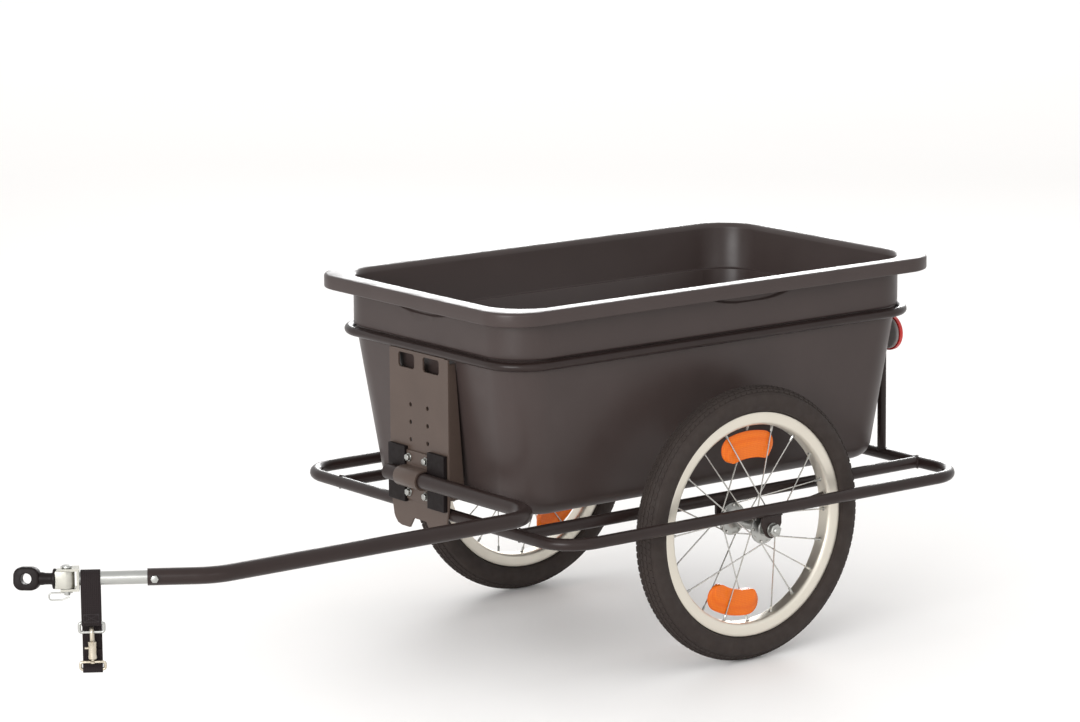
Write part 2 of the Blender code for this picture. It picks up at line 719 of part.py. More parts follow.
def inner_tube(pivot, side, extra):
    """A hollow ring with its valve, whose bore opens into the ring."""
    name = "inner_tube_" + side
    section = TYRE_WIDTH / 2 - TYRE_WALL - INNER_TUBE_ROOM
    centre = TYRE_DIAMETER / 2 - TYRE_WIDTH / 2 - TYRE_CROWN_EXTRA
    ring = circle(centre, 0, section, 6)
    hollow = circle(centre, 0, section - INNER_TUBE_WALL, 6)
    made = place(name, turned(name, ring, WHEEL_STEPS, hollow=True), tyre_rubber(), pivot)
    valve_end = centre - section - VALVE_LENGTH
    turn = math.radians(VALVE_ANGLE + extra)
    out = Vector((math.cos(turn), -math.sin(turn), 0))
    stem_end = centre - section + VALVE_ROOT
    stem = tube_mesh("valve", [out * valve_end, out * stem_end], VALVE_DIAMETER, resolution=2)
    fuse(made, stem, name + "_valve")
    cut(made, turned("hollow", hollow, WHEEL_STEPS, hollow=True), name + "_hollow")
    bore = [out * (valve_end - FAR_PAST), out * (stem_end + PAST)]
    cut(made, tube_mesh("bore", bore, VALVE_DIAMETER * 0.45, resolution=1), name + "_bore")


def valve_hole(extra):
    turn = math.radians(VALVE_ANGLE + extra)
    out = Vector((math.cos(turn), -math.sin(turn), 0))
    ends = [out * (rim_inside() - FAR_PAST), out * (rim_seat_radius() + FAR_PAST)]
    return tube_mesh("valve_hole", ends, VALVE_DIAMETER + 4 * GAP, resolution=2)


def hub_mesh(name):
    """The hub shell with its two flanges, bored for the axle and the bearings."""
    half = HUB_FLANGE_SPACING / 2
    plate = HUB_FLANGE_THICKNESS / 2
    end = half + HUB_END_LENGTH
    bearing = BEARING_DIAMETER / 2
    one_side = [
        (AXLE_DIAMETER / 2 + HUB_AXLE_ROOM, end - BEARING_DEPTH),
        (bearing, end - BEARING_DEPTH),
        (bearing, end),
        (HUB_END_DIAMETER / 2, end),
        (HUB_END_DIAMETER / 2, half + plate),
        (HUB_FLANGE_DIAMETER / 2, half + plate),
        (HUB_FLANGE_DIAMETER / 2, half - plate),
        (HUB_BARREL_DIAMETER / 2, half - plate - HUB_FLANGE_CONE),
    ]
    profile = one_side + [(r, -a) for r, a in reversed(one_side)]
    return turned(name, profile, SMALL_STEPS, hollow=True)


def spoke_ends(index, flange):
    """The two ends of a spoke, in the wheel's plane with the axis along Z; flange is 1 or -1."""
    step = 360 / SPOKES_PER_SIDE
    rim_angle = step * index + (step / 2 if flange < 0 else 0)
    lead = SPOKE_LEAD_ANGLE if index % 2 else -SPOKE_LEAD_ANGLE
    hub_angle = math.radians(rim_angle + lead)
    rim_angle = math.radians(rim_angle)
    hole = HUB_FLANGE_DIAMETER / 2 - SPOKE_HOLE_INSET
    side = flange * (HUB_FLANGE_SPACING / 2 + (1 if index % 2 else -1) * SPOKE_DIAMETER * 0.6)
    reach = rim_inside() - GAP
    first = Vector((hole * math.cos(hub_angle), hole * math.sin(hub_angle), side))
    last = Vector((reach * math.cos(rim_angle), reach * math.sin(rim_angle), 0))
    return first, last


def spokes_mesh(extra):
    bars = []
    turned_by = Matrix.Rotation(-math.radians(extra), 3, "Z")
    for flange in (1, -1):
        for index in range(SPOKES_PER_SIDE):
            ends = [turned_by @ end for end in spoke_ends(index, flange)]
            bars.append(tube_mesh("spoke", ends, SPOKE_DIAMETER, resolution=0))
    return joined("spokes", bars)


def arc_bar(radius, width, length, steps=5):
    """A bar bent along a circle about the origin, with round ends, centred on +X."""
    half = math.degrees((length - width) / 2 / radius)
    cap = width / 2
    points = arc(0, 0, radius + cap, -half, half, steps)
    for sign in (1, -1):
        t = math.radians(sign * half)
        cx, cy = radius * math.cos(t), radius * math.sin(t)
        start = half if sign > 0 else 180 - half
        points += arc(cx, cy, cap, start, start + 180, 5)[1:-1]
        if sign > 0:
            points += arc(0, 0, radius - cap, half, -half, steps)
    return points


def spoke_reflector(pivot, side, number, angle):
    """A lens bar between the two planes of spokes; its outer edge thins to fit where they meet."""
    name = "spoke_reflector_" + side + "_" + str(number)
    trim = SPOKE_REFLECTOR_WIDTH * 0.24
    edge = SPOKE_DIAMETER * 0.3
    radius = rim_inside() - SPOKE_REFLECTOR_FROM_RIM
    width = SPOKE_REFLECTOR_WIDTH
    length = SPOKE_REFLECTOR_LENGTH
    full = arc_bar(radius, width, length)
    face = arc_bar(radius - trim, width - 2 * trim, length - 2 * trim)
    half = SPOKE_REFLECTOR_THICKNESS / 2
    levels = ((face, -half), (full, -edge), (full, edge), (face, half))
    loops = [[(x, y, z) for x, y in ring] for ring, z in levels]
    turn = (0, 0, -math.radians(angle))
    return place(name, loop_mesh(name, loops), orange_lens(), pivot, rotation=turn)


def wheel(root, side, sign):
    """Tyre, inner tube, rim, spoked hub and two reflectors, all turning about the axle."""
    at = (0, sign * WHEEL_Y, AXLE_Z)
    extra = RIGHT_WHEEL_TURN if sign < 0 else 0.0
    pivot = empty("wheel_" + side + "_pivot", root, at, (math.radians(-90), 0, 0))
    place("tyre_" + side, tyre_mesh("tyre_" + side), tyre_rubber(), pivot)
    rim = place("rim_" + side, rim_mesh("rim_" + side), rim_aluminium(), pivot)
    cut(rim, valve_hole(extra), "rim_" + side + "_valve_hole")
    inner_tube(pivot, side, extra)
    hub = place("spoked_hub_" + side, hub_mesh("spoked_hub_" + side), zinc_steel(), pivot)
    fuse(hub, spokes_mesh(extra), "spokes_" + side)
    for number, angle in enumerate(SPOKE_REFLECTOR_ANGLES, 1):
        spoke_reflector(pivot, side, number, angle + extra)


def front_plate(root):
    """The folded sheet between ring and loop that carries the drawbar clamp."""
    half = PLATE_WIDTH / 2
    foot = half - PLATE_FOOT_NARROWING
    notch = PLATE_NOTCH_WIDTH / 2
    low = PLATE_BOTTOM_Z
    shoulder = LOOP_HEIGHT - LOOP_TUBE
    waist = LOOP_HEIGHT + LOOP_TUBE
    outline = [(half, PLATE_TOP_Z), (-half, PLATE_TOP_Z), (-half, waist), (-foot, shoulder)]
    outline += arc(PLATE_FOOT_RADIUS - foot, low + PLATE_FOOT_RADIUS, PLATE_FOOT_RADIUS, 180, 270, 3)[1:]
    outline += [(-notch, low), (-notch * 0.6, low + PLATE_NOTCH_HEIGHT)]
    outline += [(notch * 0.6, low + PLATE_NOTCH_HEIGHT), (notch, low)]
    outline += arc(foot - PLATE_FOOT_RADIUS, low + PLATE_FOOT_RADIUS, PLATE_FOOT_RADIUS, 270, 360, 3)[:-1]
    outline += [(foot, shoulder), (half, waist)]
    sheet = prism("front_plate", outline, 0, PLATE_THICKNESS, "X")
    plate = place("front_plate", sheet, frame_paint(), root, (PLATE_BACK_X, 0, 0))
    low_end = waist + PLATE_FLANGE_END_GAP
    high_end = PLATE_TOP_Z - PLATE_FLANGE_END_GAP
    for name, sign in (("left", 1), ("right", -1)):
        one, other = sorted((sign * half, sign * (half - PLATE_THICKNESS)))
        root_x = PLATE_THICKNESS / 3
        outline = [(root_x, low_end), (root_x, high_end)]
        outline += [(-PLATE_FLANGE_DEPTH, high_end), (-PLATE_FLANGE_LOW_DEPTH, low_end)]
        fuse(plate, prism("flange", outline, one, other, "Y"), "plate_flange_" + name)
    cutters = []
    top = PLATE_TOP_Z - WINDOW_TOP_MARGIN
    for sign in (1, -1):
        middle = sign * (WINDOW_BAR + WINDOW_WIDTH) / 2
        half_high = WINDOW_HEIGHT / 2
        window = rounded_rectangle(WINDOW_WIDTH / 2, half_high, WINDOW_RADIUS, 1, middle, top - half_high)
        cutters.append(prism("window", window, -PAST, PLATE_THICKNESS + PAST, "X"))
        for row in range(-1, PLATE_HOLE_ROWS_ABOVE + 1):
            z = CLAMP_HEIGHT + row * PLATE_HOLE_PITCH
            if row == 0:
                continue
            hole = circle(sign * CLAMP_BOLT_SPACING / 2, z, CLAMP_BOLT_DIAMETER / 2 + HOLE_ROOM, 8, 22.5)
            cutters.append(prism("hole", hole, -PAST, PLATE_THICKNESS + PAST, "X"))
    cut(plate, joined("plate_openings", cutters), "plate_openings")


def clamp(root):
    """Two seat blocks and a sheet saddle hold the drawbar's cross tube to the plate."""
    back = PLATE_FRONT_X + GAP - DRAWBAR_X
    seat = CLAMP_SEAT_RADIUS
    half = CLAMP_BASE_HEIGHT / 2
    face = back + CLAMP_BASE_DEPTH
    rise = math.degrees(math.acos(-face / seat))
    block = [(back, -half), (face, -half)] + arc(0, 0, seat, 180 + rise, 180 - rise, 6)
    block += [(face, half), (back, half)]
    for side, sign in (("left", 1), ("right", -1)):
        ends = sorted((sign * CLAMP_BASE_INNER_Y, sign * (CLAMP_BASE_INNER_Y + CLAMP_BASE_WIDTH)))
        mesh = prism("clamp_base", block, ends[0], ends[1], "Y")
        place("clamp_base_" + side, mesh, black_plastic(), root, (DRAWBAR_X, 0, CLAMP_HEIGHT))
    outer = seat + SADDLE_THICKNESS
    foot = back + SADDLE_THICKNESS
    tip = SADDLE_HEIGHT / 2
    profile = [(back, -tip), (foot, -tip), (foot, -outer)] + arc(0, 0, outer, -90, 90, 8)
    profile += [(foot, outer), (foot, tip), (back, tip), (back, seat)]
    profile += arc(0, 0, seat, 90, -90, 8) + [(back, -seat)]
    sheet = prism("clamp_saddle", profile, -SADDLE_WIDTH / 2, SADDLE_WIDTH / 2, "Y")
    saddle = place("clamp_saddle", sheet, frame_paint(), root, (DRAWBAR_X, 0, CLAMP_HEIGHT))
    holes = []
    shank = CLAMP_BOLT_DIAMETER / 2
    washer = GAP + BOLT_WASHER_THICKNESS
    head = [
        (shank, -(PLATE_THICKNESS + SADDLE_THICKNESS + BOLT_BEHIND_PLATE)),
        (shank, GAP),
        (shank * 2, GAP),
        (shank * 2, washer),
        (shank * BOLT_HEAD_RATIO, washer),
        (shank * BOLT_HEAD_RATIO, washer + BOLT_HEAD_HEIGHT),
    ]
    number = 0
    for row in (1, -1):
        for sign in (1, -1):
            number += 1
            y = sign * CLAMP_BOLT_SPACING / 2
            hole = circle(y, row * PLATE_HOLE_PITCH, shank + HOLE_ROOM, 8, 22.5)
            holes.append(prism("hole", hole, back - PAST, foot + PAST, "X"))
            name = "clamp_bolt_" + str(number)
            at = (DRAWBAR_X + foot, y, CLAMP_HEIGHT + row * PLATE_HOLE_PITCH)
            place(name, turned(name, head, 6), zinc_steel(), root, at, (0, math.radians(90), 0))
    cut(saddle, joined("saddle_holes", holes), "saddle_holes")


def rear_reflectors(root):
    """A round lens in front of a smaller housing on each rear post."""
    lean = (REAR_REFLECTOR_HEIGHT - LOOP_HEIGHT) / (RING_HEIGHT - LOOP_HEIGHT)
    post_x = LOOP_REAR_X + (RING_REAR_X - LOOP_REAR_X) * lean
    back = post_x - POST_TUBE / 2 - 2 * GAP
    lens = REAR_LENS_DIAMETER / 2
    outer = REAR_HOUSING_DIAMETER / 2
    front = REAR_HOUSING_DEPTH
    cup = [(outer - REAR_HOUSING_EDGE, 0), (outer, REAR_HOUSING_EDGE), (outer, front)]
    rim = front + GAP + REAR_LENS_SKIRT
    body = [
        (lens, front + GAP),
        (lens, rim),
        (lens * REAR_LENS_SHOULDER, rim + REAR_LENS_DOME * REAR_LENS_SHOULDER_RISE),
        (lens * REAR_LENS_CROWN, rim + REAR_LENS_DOME),
    ]
    for side, sign in (("left", 1), ("right", -1)):
        at = (back, sign * POST_SPACING / 2, REAR_REFLECTOR_HEIGHT)
        turn = (0, math.radians(-90), 0)
        name = "rear_reflector_housing_" + side
        place(name, turned(name, cup), grey_plastic(), root, at, turn)
        name = "rear_reflector_lens_" + side
        place(name, turned(name, body), red_lens(), root, at, turn)


def drawbar_path():
    """The drawbar's centreline in the clamp pivot's coordinates."""
    side_y = DRAWBAR_SIDE_Y
    bend = Vector((DRAWBAR_BEND_X - DRAWBAR_X, side_y, 0))
    turn = math.radians(DRAWBAR_BEND_ANGLE)
    along = Vector((math.cos(turn), -math.sin(turn), 0))
    corners = [Vector((0, DRAWBAR_TAIL_Y, 0)), Vector((0, side_y, 0)), bend, bend + along * DRAWBAR_NOSE]
    return rounded_path(corners, [DRAWBAR_SIDE_RADIUS, DRAWBAR_BEND_RADIUS])


def cross_hole(name, x, radius):
    """A round cutter along local Y at that x, through the whole drawbar."""
    reach = DRAWBAR_TUBE / 2 + FAR_PAST
    return prism(name, circle(x, 0, radius, SMALL_STEPS), -reach, reach, "Y")


def drawbar(root):
    """The bent tube, the hitch tube in its nose and the bolt through both; returns the hitch axis."""
    pivot = empty("drawbar_pivot", root, (DRAWBAR_X, 0, CLAMP_HEIGHT))
    bend = (DRAWBAR_BEND_X - DRAWBAR_X, DRAWBAR_SIDE_Y, 0)
    axis = empty("hitch_axis", pivot, bend, (0, 0, math.radians(-DRAWBAR_BEND_ANGLE)))
    inside = HITCH_TUBE / 2 + SLIDE_GAP
    wall = DRAWBAR_TUBE / 2 - inside
    bar = pipe("drawbar", drawbar_path(), DRAWBAR_TUBE, wall, frame_paint(), pivot, resolution=4)
    bolt_x = DRAWBAR_NOSE - DRAWBAR_BOLT_FROM_NOSE
    shank = CLAMP_BOLT_DIAMETER / 2
    hole = cut(bar, cross_hole("bolt_hole", bolt_x, shank + HOLE_ROOM), "drawbar_bolt_hole")
    hole.object.parent = axis
    start = Vector((DRAWBAR_NOSE - HITCH_TUBE_OVERLAP, 0, 0))
    end = Vector((FORK_STATION - GAP, 0, 0))
    tube = pipe("hitch_tube", [start, end], HITCH_TUBE, HITCH_TUBE_WALL, zinc_steel(), axis, resolution=4)
    cut(tube, cross_hole("tube_hole", bolt_x, shank + HOLE_ROOM), "hitch_tube_bolt_hole")
    side = DRAWBAR_TUBE / 2 + GAP
    shaft = [
        (shank, -2 * side - DRAWBAR_NUT_HEIGHT - DRAWBAR_BOLT_BEYOND_NUT),
        (shank, 0),
        (shank * BOLT_HEAD_RATIO, 0),
        (shank * BOLT_HEAD_RATIO, BOLT_HEAD_HEIGHT),
    ]
    at = (bolt_x, side, 0)
    along_y = (math.radians(-90), 0, 0)
    place("drawbar_bolt", turned("drawbar_bolt", shaft, 6), zinc_steel(), axis, at, along_y)
    size = (DRAWBAR_NUT_WIDTH, DRAWBAR_NUT_HEIGHT, shank + GAP)
    hexagon_nut("drawbar_nut", size, axis, (bolt_x, -side, 0), (math.radians(90), 0, 0))
    return axis


def hitch(axis):
    """Fork, pin and clip on the drawbar; the knuckle turns on the pin and the head turns in the knuckle."""
    half = FORK_HEIGHT / 2
    inner = half - FORK_THICKNESS
    length = FORK_THICKNESS + FORK_ARM_LENGTH
    web = FORK_THICKNESS
    outline = [(0, -half), (length, -half), (length, -inner), (web, -inner)]
    outline += [(web, inner), (length, inner), (length, half), (0, half)]
    mesh = prism("hitch_fork", outline, -FORK_WIDTH / 2, FORK_WIDTH / 2, "Y")
    fork = place("hitch_fork", mesh, zinc_steel(), axis, (FORK_STATION, 0, 0))
    pin = HITCH_PIN_DIAMETER / 2
    bore = circle(PIN_FROM_FORK, 0, pin + RUNNING_GAP, SMALL_STEPS)
    cut(fork, prism("pin_hole", bore, -2 * half, 2 * half), "hitch_fork_pin_hole")
    pin_low = -half - HITCH_PIN_BELOW_FORK
    top = half + GAP
    profile = [
        (pin - PIN_CHAMFER, pin_low),
        (pin, pin_low + PIN_CHAMFER),
        (pin, top),
        (HITCH_PIN_HEAD / 2, top),
        (HITCH_PIN_HEAD / 2, top + HITCH_PIN_HEAD_HEIGHT - PIN_CHAMFER),
        (HITCH_PIN_HEAD / 2 - PIN_CHAMFER, top + HITCH_PIN_HEAD_HEIGHT),
    ]
    at = (FORK_STATION + PIN_FROM_FORK, 0, 0)
    made = place("hitch_pin", turned("hitch_pin", profile, SMALL_STEPS), zinc_steel(), axis, at)
    clip_z = -half - HITCH_PIN_BELOW_FORK / 2
    wire = CLIP_WIRE / 2
    hole = prism("clip_hole", circle(0, clip_z, wire + GAP, 6), -FAR_PAST, FAR_PAST, "X")
    cut(made, hole, "hitch_pin_clip_hole")
    below = clip_z - CLIP_DROP
    corners = [
        Vector((-CLIP_STUB, 0, clip_z)),
        Vector((CLIP_REACH, 0, clip_z)),
        Vector((CLIP_REACH, 0, below)),
        Vector((CLIP_STUB, 0, below)),
        Vector((-CLIP_STUB / 2, 0, pin_low - wire - CLIP_ROOM)),
    ]
    path = rounded_path(corners, [CLIP_BEND, CLIP_BEND, CLIP_BEND * 0.7], 3)
    clip = tube_mesh("hitch_pin_clip", path, CLIP_WIRE, resolution=1)
    place("hitch_pin_clip", clip, zinc_steel(), axis, at)
    yaw = empty("hitch_yaw_pivot", axis, at, (0, 0, math.radians(HEAD_REST_YAW)))
    knuckle(yaw, inner - RUNNING_GAP, pin + RUNNING_GAP)
    roll = empty("hitch_roll_pivot", yaw, rotation=(math.radians(HEAD_REST_ROLL), 0, 0))
    head(roll)


def knuckle(yaw, half_height, bore):
    front = HEAD_FLANGE_X - GAP
    outline = arc(0, 0, KNUCKLE_RADIUS, 90, 270, 8) + [(front, -KNUCKLE_RADIUS), (front, KNUCKLE_RADIUS)]
    mesh = prism("hitch_knuckle", outline, -half_height, half_height)
    made = place("hitch_knuckle", mesh, zinc_steel(), yaw)
    reach = half_height + FAR_PAST
    hole = prism("pin_bore", circle(0, 0, bore, SMALL_STEPS), -reach, reach)
    cut(made, hole, "knuckle_pin_bore")
    depth = HEAD_SPINDLE_LENGTH + RUNNING_GAP
    spindle = circle(0, 0, HEAD_SPINDLE_DIAMETER / 2 + RUNNING_GAP, SMALL_STEPS)
    hole = prism("spindle_bore", spindle, HEAD_FLANGE_X - depth, front + FAR_PAST, "X")
    cut(made, hole, "knuckle_spindle_bore")


def head(roll):
    """The black eye that the bicycle's hitch pin goes through, on its neck, flange and spindle."""
    neck_start = HEAD_FLANGE_X + HEAD_FLANGE_THICKNESS
    neck_end = HEAD_FLANGE_X + HEAD_NECK_LENGTH
    eye_end = neck_end + EYE_LENGTH
    spindle = HEAD_SPINDLE_DIAMETER / 2
    neck = HEAD_NECK_DIAMETER / 2
    profile = [
        (spindle, HEAD_FLANGE_X - HEAD_SPINDLE_LENGTH),
        (spindle, HEAD_FLANGE_X),
        (HEAD_FLANGE_DIAMETER / 2, HEAD_FLANGE_X),
        (HEAD_FLANGE_DIAMETER / 2, neck_start),
        (neck, neck_start),
        (neck, neck_end + EYE_LENGTH * 0.12),
    ]
    along_x = (0, math.radians(90), 0)
    mesh = turned("hitch_head", profile, ROUND_STEPS)
    made = place("hitch_head", mesh, black_plastic(), roll, rotation=along_x)
    middle = (neck_end + eye_end) / 2
    eye = rounded_rectangle(EYE_HEIGHT / 2, EYE_LENGTH / 2, EYE_CORNER_RADIUS, 4, 0, middle)
    bevel = EYE_EDGE_BEVEL
    sides = (EYE_HEIGHT / 2 - bevel, EYE_LENGTH / 2 - bevel, EYE_CORNER_RADIUS - bevel)
    small = rounded_rectangle(*sides, 4, 0, middle)
    half = EYE_THICKNESS / 2
    rim = half - bevel
    levels = ((small, -half), (eye, -rim), (eye, rim), (small, half))
    loops = [[(x, w, z) for x, z in ring] for ring, w in levels]
    fuse(made, loop_mesh("eye", loops), "hitch_head_eye")
    bore = circle(0, middle, EYE_BORE_DIAMETER / 2, ROUND_STEPS)
    cut(made, prism("eye_bore", bore, -half - FAR_PAST, half + FAR_PAST, "Y"), "hitch_head_bore")


def ring_of_wire(name, clear_x, clear_z, wire, parent, location):
    """A closed rounded loop of wire in the local X-Z plane, hanging from its top bar at the origin."""
    half_x = (clear_x + wire) / 2
    half_z = (clear_z + wire) / 2
    path = [(x, 0, z) for x, z in rounded_rectangle(half_x, half_z, RING_BEND, 3, 0, -half_z)]
    mesh = tube_mesh(name, path, wire, cyclic=True, resolution=2)
    return place(name, mesh, zinc_steel(), parent, location)


def ribbon(name, path, width, thickness, parent):
    """Webbing that follows a path in the local Y-Z plane, as wide as given along X."""
    bm = bmesh.new()
    low = [bm.verts.new((-width / 2, y, z)) for y, z in path]
    edges = [bm.edges.new(pair) for pair in zip(low, low[1:])]
    grown = bmesh.ops.extrude_edge_only(bm, edges=edges)
    moved = [item for item in grown["geom"] if isinstance(item, bmesh.types.BMVert)]
    bmesh.ops.translate(bm, verts=moved, vec=(width, 0, 0))
    made = place(name, finished(bm, name), black_webbing(), parent)
    shell = made.modifiers.new("thickness", "SOLIDIFY")
    shell.thickness = thickness
    shell.offset = 0
    shell.use_even_offset = True
    return made


def strap(axis):
    """The safety strap over the hitch tube, clipped back on itself with a ring and a bolt snap."""
    pivot = empty("strap_pivot", axis, (STRAP_STATION, 0, 0))
    ply = WEBBING_THICKNESS / 2
    over = HITCH_TUBE / 2 + SLIDE_GAP + ply
    ring_turn = RING_WIRE / 2 + RUNNING_GAP + ply
    step = WEBBING_THICKNESS + WEBBING_PLY_GAP
    ring_y = over - ring_turn
    ring_z = -STRAP_RING_DROP
    arc_z = ring_z - RING_CLEAR_HEIGHT - RING_WIRE
    snap_y = ring_y - RING_WIRE / 2 - 2 * RUNNING_GAP - SNAP_BOLT_DIAMETER / 2 - SNAP_RING_ROOM
    hook_top = arc_z + RING_WIRE / 2 + RUNNING_GAP + SNAP_HOOK_WIRE / 2
    barrel_top = hook_top - SNAP_HOOK_WIRE / 2 - SNAP_BOLT_GRIP - SNAP_HOOK_ROOT
    barrel_low = barrel_top - SNAP_BARREL_LENGTH
    top_bar = barrel_low - SWIVEL_WIRE / 2 - SWIVEL_DROP
    low_bar = top_bar - SWIVEL_CLEAR_HEIGHT - SWIVEL_WIRE
    bar_turn = SWIVEL_WIRE / 2 + RUNNING_GAP + ply

    inner_y = snap_y - SNAP_BARREL_DIAMETER / 2 - RUNNING_GAP - ply
    outer_y = inner_y - step
    path = [(ring_y - ring_turn, ring_z + STRAP_TAIL_LENGTH)]
    path += arc(ring_y, ring_z, ring_turn, 180, 360, 8)
    path += arc(0, 0, over, 0, 180, 12)
    path += [(outer_y, -STRAP_SLANT_DROP), (outer_y, top_bar)]
    path += arc(snap_y, low_bar, bar_turn, 205, 435, 10)
    path += [(inner_y + ply / 2, top_bar - SWIVEL_WIRE / 5), (inner_y, top_bar + RING_BEND)]
    path += [(inner_y, top_bar + STRAP_TAIL_LENGTH)]
    ribbon("safety_strap", path, WEBBING_WIDTH, WEBBING_THICKNESS, pivot)
    at = (0, ring_y, ring_z)
    ring_of_wire("strap_ring", RING_CLEAR_WIDTH, RING_CLEAR_HEIGHT, RING_WIRE, pivot, at)
    snap(pivot, snap_y, barrel_top, hook_top)
    at = (0, snap_y, top_bar)
    made = ring_of_wire("snap_swivel", RING_CLEAR_WIDTH, SWIVEL_CLEAR_HEIGHT, SWIVEL_WIRE, pivot, at)
    stem_top = barrel_low + SWIVEL_STEM_DEPTH - top_bar
    radius = SWIVEL_STEM_DIAMETER / 2
    stem = turned("stem", [(radius, -SWIVEL_WIRE / 4), (radius, stem_top)], 8)
    fuse(made, stem, "snap_swivel_stem")


def snap(pivot, snap_y, barrel_top, hook_top):
    """The hook with its barrel, and the sprung bolt that closes it."""
    outer = SNAP_BARREL_DIAMETER / 2
    bolt = SNAP_BOLT_DIAMETER / 2
    bore = bolt + RUNNING_GAP
    length = SNAP_BARREL_LENGTH
    hook_at = (0, snap_y, barrel_top)
    chamfer = SNAP_CHAMFER
    body = [(outer - chamfer, -length), (outer, chamfer - length)]
    body += [(outer, -chamfer), (outer - chamfer, 0)]
    barrel = turned("snap_hook", body, SMALL_STEPS)
    made = place("snap_hook", barrel, zinc_steel(), pivot, hook_at)
    rise = hook_top - barrel_top
    reach = SNAP_HOOK_MOUTH
    root = bore + SNAP_HOOK_WIRE / 2
    under_tip = rise - SNAP_HOOK_WIRE / 2 - SNAP_TIP_ROOM
    corners = [
        Vector((0, root, -SNAP_HOOK_ROOT)),
        Vector((0, root + chamfer, SNAP_HOOK_ROOT / 2)),
        Vector((0, reach, SNAP_HOOK_SHOULDER)),
        Vector((0, reach, rise)),
        Vector((0, 0, rise)),
        Vector((0, 0, under_tip)),
    ]
    path = rounded_path(corners, [0.003, 0.003, 0.0045, 0.0018], 3)
    fuse(made, tube_mesh("hook", path, SNAP_HOOK_WIRE, resolution=2), "snap_hook_wire")
    hollow = circle(0, 0, bore, SMALL_STEPS)
    cut(made, prism("bore", hollow, SNAP_BARREL_FLOOR - length, chamfer), "snap_hook_bore")
    stem = SWIVEL_STEM_DIAMETER / 2 + HOLE_ROOM + RUNNING_GAP / 3
    stem_top = SWIVEL_STEM_DEPTH + RUNNING_GAP - length
    stem_hole = prism("stem_hole", circle(0, 0, stem, 8), -length - PAST, stem_top)
    cut(made, stem_hole, "snap_hook_stem_hole")
    stud = SNAP_STUD_DIAMETER / 2
    stud_z = -bore - SNAP_STUD_DROP
    side = stud + RUNNING_GAP
    low = stud_z - SNAP_TRAVEL - side
    high = stud_z + side
    slot = [(-side, low), (side, low), (side, high), (-side, high)]
    cut(made, prism("slot", slot, bolt / 6, outer + FAR_PAST, "X"), "snap_hook_slot")
    tip = under_tip - RUNNING_GAP
    rod = [(bolt, stud_z - stud), (bolt, tip - chamfer), (bolt - chamfer, tip)]
    slider = place("snap_bolt", turned("snap_bolt", rod, SMALL_STEPS), zinc_steel(), pivot, hook_at)
    pin = prism("stud", circle(0, stud_z, stud, 8, 22.5), bolt / 3, SNAP_STUD_REACH, "X")
    fuse(slider, pin, "snap_bolt_stud")


def centre_lengthwise(root):
    """Moves everything along X, so that the middle of the length is at 0."""
    bpy.context.view_layer.update()
    graph = bpy.context.evaluated_depsgraph_get()
    reach = []
    for obj in bpy.context.scene.objects:
        if obj.type == "MESH" and not obj.hide_render:
            shape = obj.evaluated_get(graph)
            reach += [(shape.matrix_world @ vertex.co).x for vertex in shape.data.vertices]
    root.location.x -= (min(reach) + max(reach)) / 2


def build():
    clear_scene()
    root = empty("trailer")
    tub(root)
    frame(root)
    axle_brackets(root)
    for side, sign in (("left", 1), ("right", -1)):
        axle(root, side, sign)
        wheel(root, side, sign)
    front_plate(root)
    clamp(root)
    rear_reflectors(root)
    axis = drawbar(root)
    hitch(axis)
    strap(axis)
    centre_lengthwise(root)


build()
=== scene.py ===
"""The bicycle trailer dressed for its photograph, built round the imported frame.

Metres. +X points to the hitch, +Y to the trailer's left, +Z up, and the ground is at Z = 0.
"""

import json
import math

import bmesh
import bpy
from mathutils import Matrix, Vector


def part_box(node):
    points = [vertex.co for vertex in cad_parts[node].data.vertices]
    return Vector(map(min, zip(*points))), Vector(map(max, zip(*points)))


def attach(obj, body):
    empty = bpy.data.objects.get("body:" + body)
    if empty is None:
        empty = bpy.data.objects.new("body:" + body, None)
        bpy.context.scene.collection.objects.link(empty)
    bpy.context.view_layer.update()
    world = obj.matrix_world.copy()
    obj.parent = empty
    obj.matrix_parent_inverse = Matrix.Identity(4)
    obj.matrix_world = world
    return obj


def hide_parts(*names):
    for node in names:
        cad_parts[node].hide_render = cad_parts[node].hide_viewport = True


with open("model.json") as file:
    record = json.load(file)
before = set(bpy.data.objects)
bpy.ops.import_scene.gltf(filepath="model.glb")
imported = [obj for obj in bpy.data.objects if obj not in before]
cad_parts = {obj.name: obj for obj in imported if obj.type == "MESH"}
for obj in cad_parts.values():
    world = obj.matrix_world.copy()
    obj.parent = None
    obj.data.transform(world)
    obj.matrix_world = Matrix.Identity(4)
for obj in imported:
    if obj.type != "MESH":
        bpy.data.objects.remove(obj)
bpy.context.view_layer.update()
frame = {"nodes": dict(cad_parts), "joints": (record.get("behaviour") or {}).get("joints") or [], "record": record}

MM = 0.001
TINY = 1e-6


def middle(node):
    """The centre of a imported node's box."""
    low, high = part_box(node)
    return (low + high) / 2


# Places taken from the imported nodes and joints
TUB_LOW, TUB_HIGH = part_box("tub")
TUB_X = (TUB_LOW.x + TUB_HIGH.x) / 2
AXLE = {"left": middle("axle_left"), "right": middle("axle_right")}
SIDES = (("left", 1), ("right", -1))
JOINTS = {joint["name"]: joint for joint in frame["joints"]}
UP = Vector((0, 0, 1))
HITCH_ALONG = Vector(JOINTS["strap_swing"]["axis"]).normalized()
CLAMP_AT = Vector(JOINTS["drawbar_swing"]["pos_m"])
PIN_AT = Vector(JOINTS["hitch_yaw"]["pos_m"])
STRAP_AT = Vector(JOINTS["strap_swing"]["pos_m"])
HEAD_ALONG = Vector(JOINTS["hitch_roll"]["axis"]).normalized()

